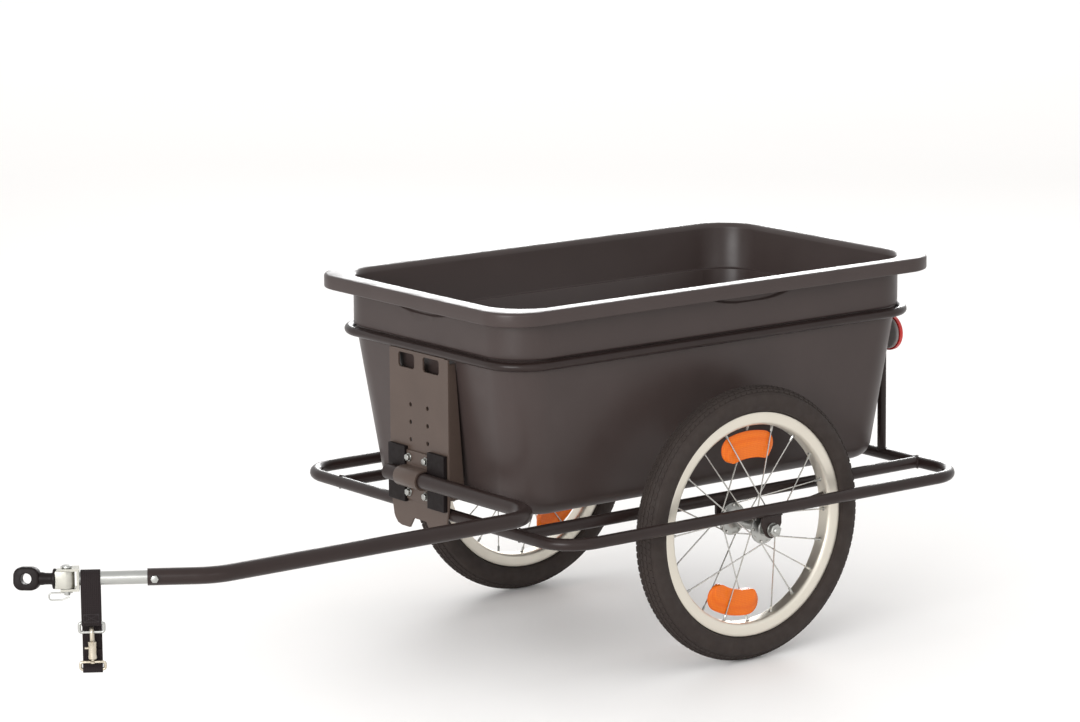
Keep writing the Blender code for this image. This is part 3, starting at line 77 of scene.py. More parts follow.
# Sizes shared with the part's source
LOOP_TUBE = 17.0 * MM
RING_TUBE = 13.0 * MM
DRAWBAR_TUBE = 22.0 * MM
LOOP_CORNER = 55.0 * MM
RING_CORNER = 60.0 * MM
STRAP_STATION = 156.5 * MM
TYRE_RADIUS = 197.5 * MM
TYRE_SECTION = 21.8 * MM
RIM_SEAT = 152.5 * MM
RIM_FLANGE = 160.8 * MM
RIM_INSIDE = 142.0 * MM
RIM_HALF = 13.5 * MM
HUB_HALF = 34.0 * MM
INNER_TUBE_AT = 174.7 * MM
INNER_TUBE_RADIUS = 13.6 * MM
SPOKES_A_SIDE = 10
SPOKE_WIRE = 2.0 * MM
SPOKE_HOLE_RADIUS = 20.5 * MM
SPOKE_LEAD = 72.0
RIGHT_WHEEL_TURN = -54.0
REFLECTOR_ANGLES = (89.0, 284.5)
VALVE_ANGLE = 171.0

LOOP_LOW, LOOP_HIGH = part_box("lower_loop")
LOOP_Z = (LOOP_LOW.z + LOOP_HIGH.z) / 2
LOOP_FRONT = LOOP_HIGH.x - LOOP_TUBE / 2
LOOP_REAR = LOOP_LOW.x + LOOP_TUBE / 2
LOOP_Y = LOOP_HIGH.y - LOOP_TUBE / 2
RING_LOW, RING_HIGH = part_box("upper_ring")
RING_Z = (RING_LOW.z + RING_HIGH.z) / 2
RING_FRONT = RING_HIGH.x - RING_TUBE / 2
RING_REAR = RING_LOW.x + RING_TUBE / 2
RING_Y = RING_HIGH.y - RING_TUBE / 2
RAIL_Y = middle("inner_rail_left").y
POST_Y = middle("rear_post_left").y
PLATE_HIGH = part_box("front_plate")[1]
HITCH_ORIGIN = STRAP_AT - HITCH_ALONG * STRAP_STATION


# Materials


# A Mix node takes its colours at inputs 6 and 7 and gives the mixed one at this output
MIXED_COLOUR = 2

# Between these values lies nearly all of a noise texture
NOISE_LOW = 0.35
NOISE_HIGH = 0.65


def linear(hex_colour):
    """An sRGB hex colour as linear RGBA."""
    found = []
    for i in (0, 2, 4):
        channel = int(hex_colour[i : i + 2], 16) / 255
        found.append(channel / 12.92 if channel <= 0.04045 else ((channel + 0.055) / 1.055) ** 2.4)
    return (*found, 1.0)


def add(tree, kind, settings=None, **inputs):
    """A node with its settings; inputs by name, with underscores for spaces, or by number as i0, i1."""
    made = tree.nodes.new(kind)
    for name, value in (settings or {}).items():
        setattr(made, name, value)
    for name, value in inputs.items():
        number = name[1:]
        socket = made.inputs[int(number)] if number.isdigit() else made.inputs[name.replace("_", " ")]
        if isinstance(value, bpy.types.NodeSocket):
            tree.links.new(value, socket)
        else:
            socket.default_value = value
    return made


def finish(name, roughness, metallic=0.0, **constants):
    """A material with its Principled shader; returns (material, tree, shader)."""
    made = bpy.data.materials.new(name)
    made.use_nodes = True
    tree = made.node_tree
    shader = tree.nodes["Principled BSDF"]
    shader.inputs["Roughness"].default_value = roughness
    shader.inputs["Metallic"].default_value = metallic
    for socket, value in constants.items():
        shader.inputs[socket.replace("_", " ")].default_value = value
    return made, tree, shader


def per(millimetres):
    """The scale of a pattern on Object coordinates whose features are that many millimetres apart."""
    return 1000.0 / millimetres


def blotch(tree, shader, hex_dark, hex_light, millimetres, detail=3.0):
    """Base colour that drifts between two close shades over that distance."""
    where = add(tree, "ShaderNodeTexCoord").outputs["Object"]
    noise = add(tree, "ShaderNodeTexNoise", Vector=where, Scale=per(millimetres), Detail=detail)
    factor = noise.outputs["Fac"]
    dark, light = linear(hex_dark), linear(hex_light)
    mix = add(tree, "ShaderNodeMix", {"data_type": "RGBA"}, Factor=factor, i6=dark, i7=light)
    tree.links.new(mix.outputs[MIXED_COLOUR], shader.inputs["Base Color"])


def grain(tree, shader, millimetres, height, strength=1.0, under=None):
    """Fine relief of that spacing and height in millimetres, over another relief if there is one."""
    where = add(tree, "ShaderNodeTexCoord").outputs["Object"]
    noise = add(tree, "ShaderNodeTexNoise", Vector=where, Scale=per(millimetres))
    value = noise.outputs["Fac"]
    bump = add(tree, "ShaderNodeBump", Height=value, Distance=height * MM, Strength=strength)
    if under:
        tree.links.new(under, bump.inputs["Normal"])
    tree.links.new(bump.outputs["Normal"], shader.inputs["Normal"])
    return bump.outputs["Normal"]


def uneven(tree, shader, low, high, millimetres):
    """Roughness that drifts between two values over that distance."""
    where = add(tree, "ShaderNodeTexCoord").outputs["Object"]
    noise = add(tree, "ShaderNodeTexNoise", Vector=where, Scale=per(millimetres), Detail=4.0)
    span = {"From_Min": NOISE_LOW, "From_Max": NOISE_HIGH, "To_Min": low, "To_Max": high}
    spread = add(tree, "ShaderNodeMapRange", Value=noise.outputs["Fac"], **span)
    tree.links.new(spread.outputs["Result"], shader.inputs["Roughness"])


def moulded_polyethylene():
    """Injection-moulded HDPE: dull warm grey with a leather grain, slightly wavy, with broad reflections."""
    made, tree, shader = finish("moulded_polyethylene", 0.36, Specular_IOR_Level=0.3)
    blotch(tree, shader, "382F2D", "413735", 90)
    uneven(tree, shader, 0.32, 0.4, 35)
    fine = grain(tree, shader, 0.9, 0.03)
    grain(tree, shader, 60, 1.0, 0.3, under=fine)
    return made


def powder_coat(name, hex_dark, hex_light):
    """Satin powder coat on steel: slight orange peel and a firm highlight along each tube and fold."""
    made, tree, shader = finish(name, 0.34, Specular_IOR_Level=0.26)
    blotch(tree, shader, hex_dark, hex_light, 60)
    uneven(tree, shader, 0.28, 0.38, 25)
    grain(tree, shader, 1.8, 0.02)
    return made


def tyre_rubber():
    """Carbon-black rubber: matt, with faint brownish patches of dust."""
    made, tree, shader = finish("tyre_rubber", 0.8, Specular_IOR_Level=0.3)
    blotch(tree, shader, "2B2422", "372F2B", 22, 5.0)
    uneven(tree, shader, 0.7, 0.86, 12)
    grain(tree, shader, 0.7, 0.05)
    return made


def satin_rim_alloy():
    """Silver-anodised aluminium: pale and slightly warm, its reflections spread wide by the etched skin."""
    made, tree, shader = finish("satin_rim_alloy", 0.46, 1.0)
    blotch(tree, shader, "D9D3C6", "E6E0D4", 60)
    uneven(tree, shader, 0.4, 0.5, 30)
    return made


def stainless_wire():
    """Drawn stainless steel spokes: bright and smooth, with a little tarnish."""
    made, tree, shader = finish("stainless_wire", 0.22, 1.0)
    blotch(tree, shader, "B9B7B2", "CFCDC8", 18)
    uneven(tree, shader, 0.16, 0.3, 6)
    return made


def zinc_plate():
    """Bright zinc plating on steel: a cool grey sheen, slightly cloudy."""
    made, tree, shader = finish("zinc_plate", 0.34, 1.0)
    blotch(tree, shader, "A3A4A1", "B8B8B4", 25)
    uneven(tree, shader, 0.3, 0.4, 12)
    return made


def cast_zinc_alloy():
    """Die-cast zinc with a tumbled skin: bright grey-white, pitted and softly uneven."""
    made, tree, shader = finish("cast_zinc_alloy", 0.36, 1.0)
    blotch(tree, shader, "A9A8A0", "C2C0B7", 9)
    uneven(tree, shader, 0.28, 0.46, 5)
    fine = grain(tree, shader, 0.9, 0.03)
    grain(tree, shader, 5.0, 0.2, 0.5, under=fine)
    return made


def nickel_bronze():
    """Nickel-plated die-cast snap: silver that has worn warm towards bronze."""
    made, tree, shader = finish("nickel_bronze", 0.3, 1.0)
    blotch(tree, shader, "B3A58C", "CFCABE", 9)
    uneven(tree, shader, 0.22, 0.4, 6)
    return made


def moulded_nylon():
    """Glass-filled black nylon: near black with a faint sheen and a fine spark-eroded grain."""
    made, tree, shader = finish("moulded_nylon", 0.5, Specular_IOR_Level=0.13)
    blotch(tree, shader, "130E0E", "1B1515", 14)
    uneven(tree, shader, 0.42, 0.56, 8)
    grain(tree, shader, 0.5, 0.02)
    return made


def grey_abs():
    """Moulded grey ABS of the reflector housings."""
    made, tree, shader = finish("grey_abs", 0.45, IOR=1.53)
    blotch(tree, shader, "848180", "94918F", 12)
    uneven(tree, shader, 0.38, 0.54, 8)
    grain(tree, shader, 0.5, 0.02)
    return made


def prism_lens(name, hex_painted_shade, hex_painted_light):
    """Clear tinted acrylic with a honeycomb of corner prisms behind it: saturated, glossy and sparkling; the
    sparkle is partly painted, each cell going from a painted lit shade at its middle to a painted shaded one at
    its edges.
    """
    made, tree, shader = finish(name, 0.26, IOR=1.49, Specular_IOR_Level=0.3, Transmission_Weight=0.18)
    where = add(tree, "ShaderNodeTexCoord").outputs["Object"]
    cells = add(tree, "ShaderNodeTexVoronoi", Vector=where, Scale=per(2.6), Randomness=0.12)
    # Painted light and shade: each prism cell takes the lit colour at its middle and the shaded colour towards its
    # edges
    factor = cells.outputs["Distance"]
    bright, deep = linear(hex_painted_light), linear(hex_painted_shade)
    mix = add(tree, "ShaderNodeMix", {"data_type": "RGBA"}, Factor=factor, i6=bright, i7=deep)
    tree.links.new(mix.outputs[MIXED_COLOUR], shader.inputs["Base Color"])
    bump = add(tree, "ShaderNodeBump", Height=cells.outputs["Distance"], Distance=0.5 * MM, Strength=0.5)
    tree.links.new(bump.outputs["Normal"], shader.inputs["Normal"])
    return made


def woven_webbing():
    """Black polyester webbing, a tight matt twill whose ribs run along the band, with painted shade in its grooves
    and painted light on its ribs.

    The ribs are drawn 2.4 mm apart, coarser than real ones, so that they show.
    """
    made, tree, shader = finish("woven_webbing", 0.86, Specular_IOR_Level=0.2)
    where = add(tree, "ShaderNodeUVMap", {"uv_map": "band"}).outputs["UV"]
    split = add(tree, "ShaderNodeSeparateXYZ", Vector=where)
    turns = 2 * math.pi * per(2.4)
    waves = []
    for axis in ("X", "Y"):
        angle = add(tree, "ShaderNodeMath", {"operation": "MULTIPLY"}, i0=split.outputs[axis], i1=turns)
        wave = add(tree, "ShaderNodeMath", {"operation": "SINE"}, i0=angle.outputs[0])
        waves.append(wave.outputs[0])
    weave = add(tree, "ShaderNodeMath", {"operation": "MULTIPLY"}, i0=waves[0], i1=waves[1])
    height = add(tree, "ShaderNodeMath", {"operation": "ADD"}, i0=weave.outputs[0], i1=waves[0])
    bump = add(tree, "ShaderNodeBump", Height=height.outputs[0], Distance=0.22 * MM, Strength=0.9)
    tree.links.new(bump.outputs["Normal"], shader.inputs["Normal"])
    # Painted shade and light: the colour follows the weave's height, darker in its grooves and lighter on its ribs
    tone = add(tree, "ShaderNodeMapRange", Value=height.outputs[0], From_Min=-2.0, From_Max=2.0)
    factor = tone.outputs["Result"]
    shaded_groove_colour, lit_rib_colour = linear("131010"), linear("2A2223")
    mix = add(tree, "ShaderNodeMix", {"data_type": "RGBA"}, Factor=factor, i6=shaded_groove_colour, i7=lit_rib_colour)
    tree.links.new(mix.outputs[MIXED_COLOUR], shader.inputs["Base Color"])
    return made


def sewing_thread():
    """Bonded black polyester thread, a shade lighter than the webbing and slightly shiny."""
    made, tree, shader = finish("sewing_thread", 0.6, Specular_IOR_Level=0.3)
    blotch(tree, shader, "262223", "3A3536", 2)
    return made


def studio_floor():
    """A floor of white painted board, matt and even."""
    made, tree, shader = finish("studio_floor", 0.9)
    blotch(tree, shader, "F8F7F6", "FAF9F8", 900)
    return made


TUB_PLASTIC = moulded_polyethylene()
PAINT = powder_coat("powder_coat_on_tube", "221917", "2D2220")
# The tubes' powder coat, painted lighter for the front plate and the clamp strap: a painted reflection of the
# bright floor in their flat faces
PAINT_WITH_PAINTED_REFLECTION = powder_coat("powder_coat_with_painted_reflection", "483C36", "53463F")
RUBBER = tyre_rubber()
ALLOY = satin_rim_alloy()
WIRE = stainless_wire()
ZINC = zinc_plate()
CAST = cast_zinc_alloy()
SNAP = nickel_bronze()
NYLON = moulded_nylon()
ABS = grey_abs()
# Each lens gets a painted shaded colour, then a painted lit colour, mixed over its prism cells
ORANGE = prism_lens("orange_acrylic_lens", "DE5406", "FA8614")
RED = prism_lens("red_acrylic_lens", "B01616", "EA3630")
WEBBING = woven_webbing()
THREAD = sewing_thread()

# The record's slots, each with its finishes; the first also dresses the nodes left as packed
SLOT_FINISHES = {
    "tub_plastic": (TUB_PLASTIC,),
    "frame_paint": (PAINT, PAINT_WITH_PAINTED_REFLECTION),
    "tyre_rubber": (RUBBER,),
    "rim_aluminium": (ALLOY,),
    "zinc_steel": (ZINC, WIRE, CAST, SNAP),
    "black_plastic": (NYLON,),
    "orange_lens": (ORANGE,),
    "red_lens": (RED,),
    "grey_plastic": (ABS,),
    "black_webbing": (WEBBING, THREAD),
}


# Making pieces


# Marks, until a piece is finished, the faces that stay flat between rounded edges
FLAT = 1

# From this many degrees on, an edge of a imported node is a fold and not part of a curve
FOLD_ANGLE = 30.0


def piece(name, bm, material, body, nodes=(), sharp=35.0):
    """Finishes a bmesh as a piece: merged, outward, smooth but for its sharp edges, riding on a body."""
    bmesh.ops.remove_doubles(bm, verts=bm.verts, dist=TINY)
    bmesh.ops.recalc_face_normals(bm, faces=bm.faces)
    mesh = bpy.data.meshes.new(name)
    bm.to_mesh(mesh)
    bm.free()
    mesh.set_sharp_from_angle(angle=math.radians(sharp))
    for face in mesh.polygons:
        face.use_smooth = face.material_index != FLAT
        face.material_index = 0
    mesh.materials.append(material)
    made = bpy.data.objects.new(name, mesh)
    bpy.context.scene.collection.objects.link(made)
    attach(made, body)
    if nodes:
        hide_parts(*nodes)
    return made


def standing(origin, up, ahead=(1, 0, 0)):
    """The placement whose Z runs along up and whose X leans towards ahead."""
    z = Vector(up).normalized()
    x = Vector(ahead) - z * Vector(ahead).dot(z)
    if x.length < TINY:
        x = Vector((0, 1, 0)) - z * z.y
    x.normalize()
    y = z.cross(x)
    turn = Matrix((x, y, z)).transposed().to_4x4()
    return Matrix.Translation(Vector(origin)) @ turn


def put(bm, placement):
    """Moves a whole bmesh by a placement."""
    bmesh.ops.transform(bm, matrix=placement, verts=bm.verts)
    return bm


def join(*parts):
    """Several bmeshes as one."""
    bm = bmesh.new()
    for part in parts:
        mesh = bpy.data.meshes.new("part")
        part.to_mesh(mesh)
        part.free()
        bm.from_mesh(mesh)
        bpy.data.meshes.remove(mesh)
    return bm


def in_mm(points):
    """Points written in millimetres, as metres."""
    return [tuple(value * MM for value in point) for point in points]


def mirrored(one_side):
    """A closed profile of (radius, height) from the half at one side of its middle plane."""
    return one_side + [(radius, -height) for radius, height in reversed(one_side[1:-1])]


def lathe(profile, steps, ring=False):
    """A profile of (radius, height) spun about Z, closed on itself as a ring or capped at its ends."""
    bm = bmesh.new()
    verts = [bm.verts.new((radius, 0, height)) for radius, height in profile]
    edges = [bm.edges.new(pair) for pair in zip(verts, verts[1:])]
    if ring:
        edges.append(bm.edges.new((verts[-1], verts[0])))
    bmesh.ops.spin(
        bm,
        geom=verts + edges,
        cent=(0, 0, 0),
        axis=(0, 0, 1),
        angle=2 * math.pi,
        steps=steps,
        use_merge=True,
        use_duplicate=False,
    )
    if not ring:
        bmesh.ops.holes_fill(bm, edges=[edge for edge in bm.edges if edge.is_boundary], sides=0)
    return bm


def tube(points, diameter, sides, closed=False, ripple=0.0):
    """A round bar along the points, from a bevelled curve; ripple varies its thickness like a weld's."""
    curve = bpy.data.curves.new("path", "CURVE")
    curve.dimensions = "3D"
    curve.bevel_depth = diameter / 2
    curve.bevel_resolution = max(sides // 2 - 2, 0)
    curve.use_fill_caps = True
    spline = curve.splines.new("POLY")
    spline.points.add(len(points) - 1)
    for i, (target, source) in enumerate(zip(spline.points, points)):
        target.co = (*source, 1)
        target.radius = 1 + ripple * math.sin(i * 2.1)
    spline.use_cyclic_u = closed
    guide = bpy.data.objects.new("path", curve)
    mesh = bpy.data.meshes.new_from_object(guide)
    bm = bmesh.new()
    bm.from_mesh(mesh)
    bpy.data.objects.remove(guide)
    bpy.data.curves.remove(curve)
    bpy.data.meshes.remove(mesh)
    return bm


def open_ends(bm, wall, depth):
    """Sinks the caps of a round bar, so that it shows as a tube of that wall."""
    bmesh.ops.remove_doubles(bm, verts=bm.verts, dist=TINY)
    caps = [face for face in bm.faces if len(face.verts) > 6]
    for face in caps:
        normal = face.normal.copy()
        bmesh.ops.inset_region(bm, faces=[face], thickness=wall, use_even_offset=True)
        grown = bmesh.ops.extrude_face_region(bm, geom=[face])
        moved = [item for item in grown["geom"] if isinstance(item, bmesh.types.BMVert)]
        bmesh.ops.translate(bm, verts=moved, vec=-normal * depth)
        bmesh.ops.delete(bm, geom=[face], context="FACES")
    return bm


def loft(loops, ring=False):
    """Loops of equal length, each extruded from the last; its ends are capped, or joined as a ring."""
    bm = bmesh.new()
    here = [bm.verts.new(point) for point in loops[0]]
    edges = [bm.edges.new((a, b)) for a, b in zip(here, here[1:] + here[:1])]
    first_edges = edges
    for loop in loops[1:]:
        grown = bmesh.ops.extrude_edge_only(bm, edges=edges)["geom"]
        new = [item for item in grown if isinstance(item, bmesh.types.BMVert)]
        edges = [item for item in grown if isinstance(item, bmesh.types.BMEdge)]
        edges = [edge for edge in edges if edge.verts[0] in new and edge.verts[1] in new]
        place_of = {tuple(vert.co): i for i, vert in enumerate(here)}
        ordered = [None] * len(here)
        for vert in new:
            ordered[place_of[tuple(vert.co)]] = vert
        for vert, point in zip(ordered, loop):
            vert.co = point
        here = ordered
    if ring:
        bmesh.ops.bridge_loops(bm, edges=edges + first_edges)
    else:
        bmesh.ops.contextual_create(bm, geom=edges)
        bmesh.ops.contextual_create(bm, geom=first_edges)
    return bm


def rounded_edges(bm, edges, size, segments=2):
    """Rounds edges of a bmesh and returns the faces that this makes."""
    made = bmesh.ops.bevel(
        bm,
        geom=edges,
        offset=size,
        offset_type="OFFSET",
        affect="EDGES",
        segments=segments,
        profile=0.5,
        material=-1,
        clamp_overlap=True,
    )
    return made["faces"]


def copy_of(node, bevel, segments=2):
    """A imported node's mesh, merged, its flat faces made whole and its edges rounded."""
    bm = bmesh.new()
    bm.from_mesh(frame["nodes"][node].data)
    bmesh.ops.remove_doubles(bm, verts=bm.verts, dist=0.01 * MM)
    bmesh.ops.dissolve_limit(
        bm, angle_limit=math.radians(0.5), verts=bm.verts, edges=bm.edges, use_dissolve_boundaries=False
    )
    bm.normal_update()
    for face in bm.faces:
        turns = [math.degrees(edge.calc_face_angle(0)) for edge in face.edges]
        face.material_index = 0 if any(1 < turn < FOLD_ANGLE for turn in turns) else FLAT
    shared = [edge for edge in bm.edges if edge.is_manifold]
    folds = [edge for edge in shared if edge.calc_face_angle(0) > math.radians(FOLD_ANGLE)]
    for face in rounded_edges(bm, folds, bevel, segments):
        face.material_index = 0
    return bm


def arc(cx, cy, radius, start, end, steps):
    """Points on an arc between two angles in degrees."""
    turns = [math.radians(start + (end - start) * i / steps) for i in range(steps + 1)]
    return [(cx + radius * math.cos(t), cy + radius * math.sin(t)) for t in turns]


def rounded_outline(half_x, half_y, radius, corner, along_x, along_y):
    """A rounded rectangle, with that many equal parts along each corner and each straight side."""
    points = []
    quarters = ((1, 1, along_x), (-1, 1, along_y), (-1, -1, along_x), (1, -1, along_y))
    for quarter, (sx, sy, parts) in enumerate(quarters):
        centre = (sx * (half_x - radius), sy * (half_y - radius))
        points += arc(*centre, radius, 90 * quarter, 90 * quarter + 90, corner)
        next_x, next_y = quarters[(quarter + 1) % 4][:2]
        angle = math.radians(90 * quarter + 90)
        here = Vector(points[-1])
        ahead = Vector((next_x * (half_x - radius), next_y * (half_y - radius)))
        ahead += Vector((math.cos(angle), math.sin(angle))) * radius
        points += [tuple(here.lerp(ahead, i / parts)) for i in range(1, parts)]
    return points


def rounded_path(corners, radii, steps):
    """A path through corners, each of the inner ones rounded by its radius in that many steps."""
    points = [Vector(corners[0])]
    for before, corner, after, radius in zip(corners, corners[1:], corners[2:], radii):
        here = Vector(corner)
        to_start = (Vector(before) - here).normalized()
        to_end = (Vector(after) - here).normalized()
        half = to_start.angle(to_end) / 2
        centre = here + (to_start + to_end).normalized() * radius / math.sin(half)
        first = (here + to_start * radius / math.tan(half) - centre).normalized()
        last = (here + to_end * radius / math.tan(half) - centre).normalized()
        points += [centre + first.slerp(last, i / steps) * radius for i in range(steps + 1)]
    points.append(Vector(corners[-1]))
    return points


def smooth_between(low, high, value):
    """From 0 at low to 1 at high, with soft ends."""
    share = min(max((value - low) / (high - low), 0.0), 1.0)
    return share * share * (3 - 2 * share)


# Tub

WALL = 4.0 * MM

# Half sizes of the tub along X and Y: at its lip, its collar, its body's top and its floor
LIP = ((TUB_HIGH.x - TUB_LOW.x) / 2, TUB_HIGH.y)
COLLAR = (LIP[0] - 30.0 * MM, LIP[1] - 25.8 * MM)
BODY = (COLLAR[0] - 4.0 * MM, COLLAR[1] - 4.0 * MM)
FLOOR = (BODY[0] - 30.0 * MM, BODY[1] - 23.0 * MM)

LIP_CORNER = 58.0 * MM
COLLAR_CORNER = 64.0 * MM
BODY_CORNER = 58.0 * MM
LIP_OUTER_ROUND = 4.0 * MM
LIP_INNER_ROUND = 8.0 * MM
COLLAR_ROUND = 3.5 * MM
FLOOR_ROUND = 20.0 * MM
FLOOR_INNER_ROUND = 18.0 * MM
SKIRT_Z = TUB_HIGH.z - 19.6 * MM
COLLAR_Z = TUB_HIGH.z - 73.3 * MM
FLOOR_Z = TUB_LOW.z

# Finger recesses in the collar: axis across it, its middle, half its length, upper edge, drop below it
RECESSES = (
    ("x", 0.0, 67.0 * MM, SKIRT_Z - 1.0 * MM, 14.0 * MM),
    ("y", TUB_X - 53.0 * MM, 72.0 * MM, SKIRT_Z - 1.0 * MM, 14.0 * MM),
)
RECESS_DEPTH = 3.0 * MM


def recess_depth(x, y, z):
    """How far a point of the collar's outside is pushed in, by the moulded finger recesses."""
    for across, centre, half, top, drop in RECESSES:
        on_face = abs(x - TUB_X) > COLLAR[0] - 1 * MM if across == "x" else abs(y) > COLLAR[1] - 1 * MM
        along = (y if across == "x" else x) - centre
        if not on_face or abs(along) >= half:
            continue
        low = top - drop * math.sqrt(1 - (along / half) ** 2)
        if low < z < top:
            slope = smooth_between(0, 3.5 * MM, z - low)
            return RECESS_DEPTH * slope * smooth_between(0, 1.0 * MM, top - z)
    return 0.0


def tub_section(half_x, half_y, radius, z):
    """One level outline of the tub, in parts fine enough for its finger recesses."""
    outline = rounded_outline(half_x, half_y, radius, corner=16, along_x=150, along_y=72)
    return [(x + TUB_X, y, z) for x, y in outline]


def tub_shell():
    """The tub's outside from the floor up, over the rim and down its inside."""
    loops = []
    top = TUB_HIGH.z
    under = top - WALL

    def level(half, grown, radius, z):
        """Adds an outline whose half sizes have grown by that much."""
        loops.append(tub_section(half[0] + grown, half[1] + grown, radius, z))

    def quarter(half, radius, z, size, side, rise, angles):
        """Adds a rounded edge, which bends in or out (side) and up or down (rise)."""
        for angle in angles:
            t = math.radians(angle)
            grown = side * size * (1 - math.cos(t))
            level(half, grown, radius + grown, z + rise * size * (1 - math.sin(t)))

    def floor_edge(inset, floor_z, size, steps=8):
        """The rounded edge of the floor, inset by that much; returns (half sizes, radius, height)."""
        found = []
        for i in range(steps + 1):
            t = math.radians(90 * i / steps)
            back = size * (1 - math.sin(t))
            z = floor_z + size * (1 - math.cos(t))
            share = (z - floor_z) / (COLLAR_Z - FLOOR_Z)
            half = [low + (high - low) * share - back - inset for low, high in zip(FLOOR, BODY)]
            found.append((half, BODY_CORNER - back * 0.8 - inset, z))
        return found

    level(FLOOR, -40 * MM, 40 * MM, FLOOR_Z)
    outside = floor_edge(0, FLOOR_Z, FLOOR_ROUND)
    for half, radius, z in outside:
        level(half, 0, radius, z)
    for share in (0.3, 0.6, 0.9):
        half, radius, z = outside[-1]
        higher = [low + (high - low) * share for low, high in zip(half, BODY)]
        level(higher, 0, BODY_CORNER, z + (COLLAR_Z - z) * share)
    level(BODY, -0.1 * MM, BODY_CORNER, COLLAR_Z - 0.6 * MM)
    level(BODY, 0.5 * MM, BODY_CORNER + 0.5 * MM, COLLAR_Z)
    quarter(COLLAR, COLLAR_CORNER, COLLAR_Z, COLLAR_ROUND, -1, 1, (90, 60, 30, 0))
    first_row = len(loops)
    z = COLLAR_Z + 10 * MM
    while z < SKIRT_Z + 1 * MM:
        level(COLLAR, 0, COLLAR_CORNER, z)
        z += 0.9 * MM if z > SKIRT_Z - 18 * MM else 6 * MM
    last_row = len(loops)
    level(COLLAR, 0, COLLAR_CORNER, under - 2 * MM)
    level(COLLAR, 0.6 * MM, COLLAR_CORNER, under - 0.6 * MM)
    level(COLLAR, 2 * MM, COLLAR_CORNER, under)
    level(LIP, -WALL - 1.5 * MM, LIP_CORNER - WALL, under)
    level(LIP, -WALL, LIP_CORNER - WALL, under - 1.5 * MM)
    level(LIP, -WALL + 0.5 * MM, LIP_CORNER - WALL, SKIRT_Z + 1.2 * MM)
    level(LIP, -WALL + 1.4 * MM, LIP_CORNER - WALL, SKIRT_Z)
    level(LIP, -1.2 * MM, LIP_CORNER, SKIRT_Z)
    level(LIP, -0.3 * MM, LIP_CORNER, SKIRT_Z + 0.8 * MM)
    level(LIP, 0, LIP_CORNER, SKIRT_Z + 2.0 * MM)
    quarter(LIP, LIP_CORNER, top, LIP_OUTER_ROUND, -1, -1, (0, 22, 45, 67, 90))
    inside = (COLLAR[0] - WALL, COLLAR[1] - WALL)
    corner = COLLAR_CORNER - WALL
    ledge = COLLAR_Z + WALL
    quarter(inside, corner, top, LIP_INNER_ROUND, 1, -1, (90, 67, 45, 22, 0))
    level(inside, 0, corner, ledge + 2.5 * MM)
    level(inside, -0.8 * MM, corner - 0.5 * MM, ledge + 0.8 * MM)
    level(inside, -2.5 * MM, corner - 1 * MM, ledge)
    level(BODY, -WALL + 0.8 * MM, BODY_CORNER - WALL, ledge)
    level(BODY, -WALL - 0.2 * MM, BODY_CORNER - WALL, ledge - 1.2 * MM)
    for half, radius, z in reversed(floor_edge(WALL, FLOOR_Z + WALL, FLOOR_INNER_ROUND)):
        level(half, 0, radius, z)
    level(FLOOR, -44 * MM, 36 * MM, FLOOR_Z + WALL)

    for i in range(first_row, last_row):
        shifted = []
        for x, y, z in loops[i]:
            depth = recess_depth(x, y, z)
            if depth and abs(x - TUB_X) > COLLAR[0] - 1 * MM:
                x -= math.copysign(depth, x - TUB_X)
            elif depth:
                y -= math.copysign(depth, y)
            shifted.append((x, y, z))
        loops[i] = shifted
    piece("tub_shell", loft(loops), TUB_PLASTIC, "frame", ["tub"])


tub_shell()


# Frame


def saddle_weld(at, along, small, big, width=3.4 * MM):
    """The weld bead where a tube of radius small leaves the side of one of radius big, laid along Y."""
    along = Vector(along)
    across = Vector((0, 1, 0))
    third = along.cross(across)
    steps = 28
    points = []
    for i in range(steps):
        t = 2 * math.pi * i / steps
        v = small * math.sin(t)
        lift = math.sqrt(max(big**2 - v**2, 0))
        points.append(Vector(at) + across * small * math.cos(t) + third * v + along * lift)
    return tube(points, width, 8, closed=True, ripple=0.13)


def bead(start, end, width=2.6 * MM):
    """A straight weld bead."""
    start, end = Vector(start), Vector(end)
    steps = max(int((end - start).length / (2.2 * MM)), 4)
    return tube([start.lerp(end, i / steps) for i in range(steps + 1)], width, 8, ripple=0.15)


def level_loop(front, rear, half_width, radius, z):
    """The middle line of a level tube that closes on itself."""
    half_length = (front - rear) / 2
    outline = rounded_outline(half_length, half_width, radius, corner=24, along_x=24, along_y=16)
    return [(x + (front + rear) / 2, y, z) for x, y in outline]


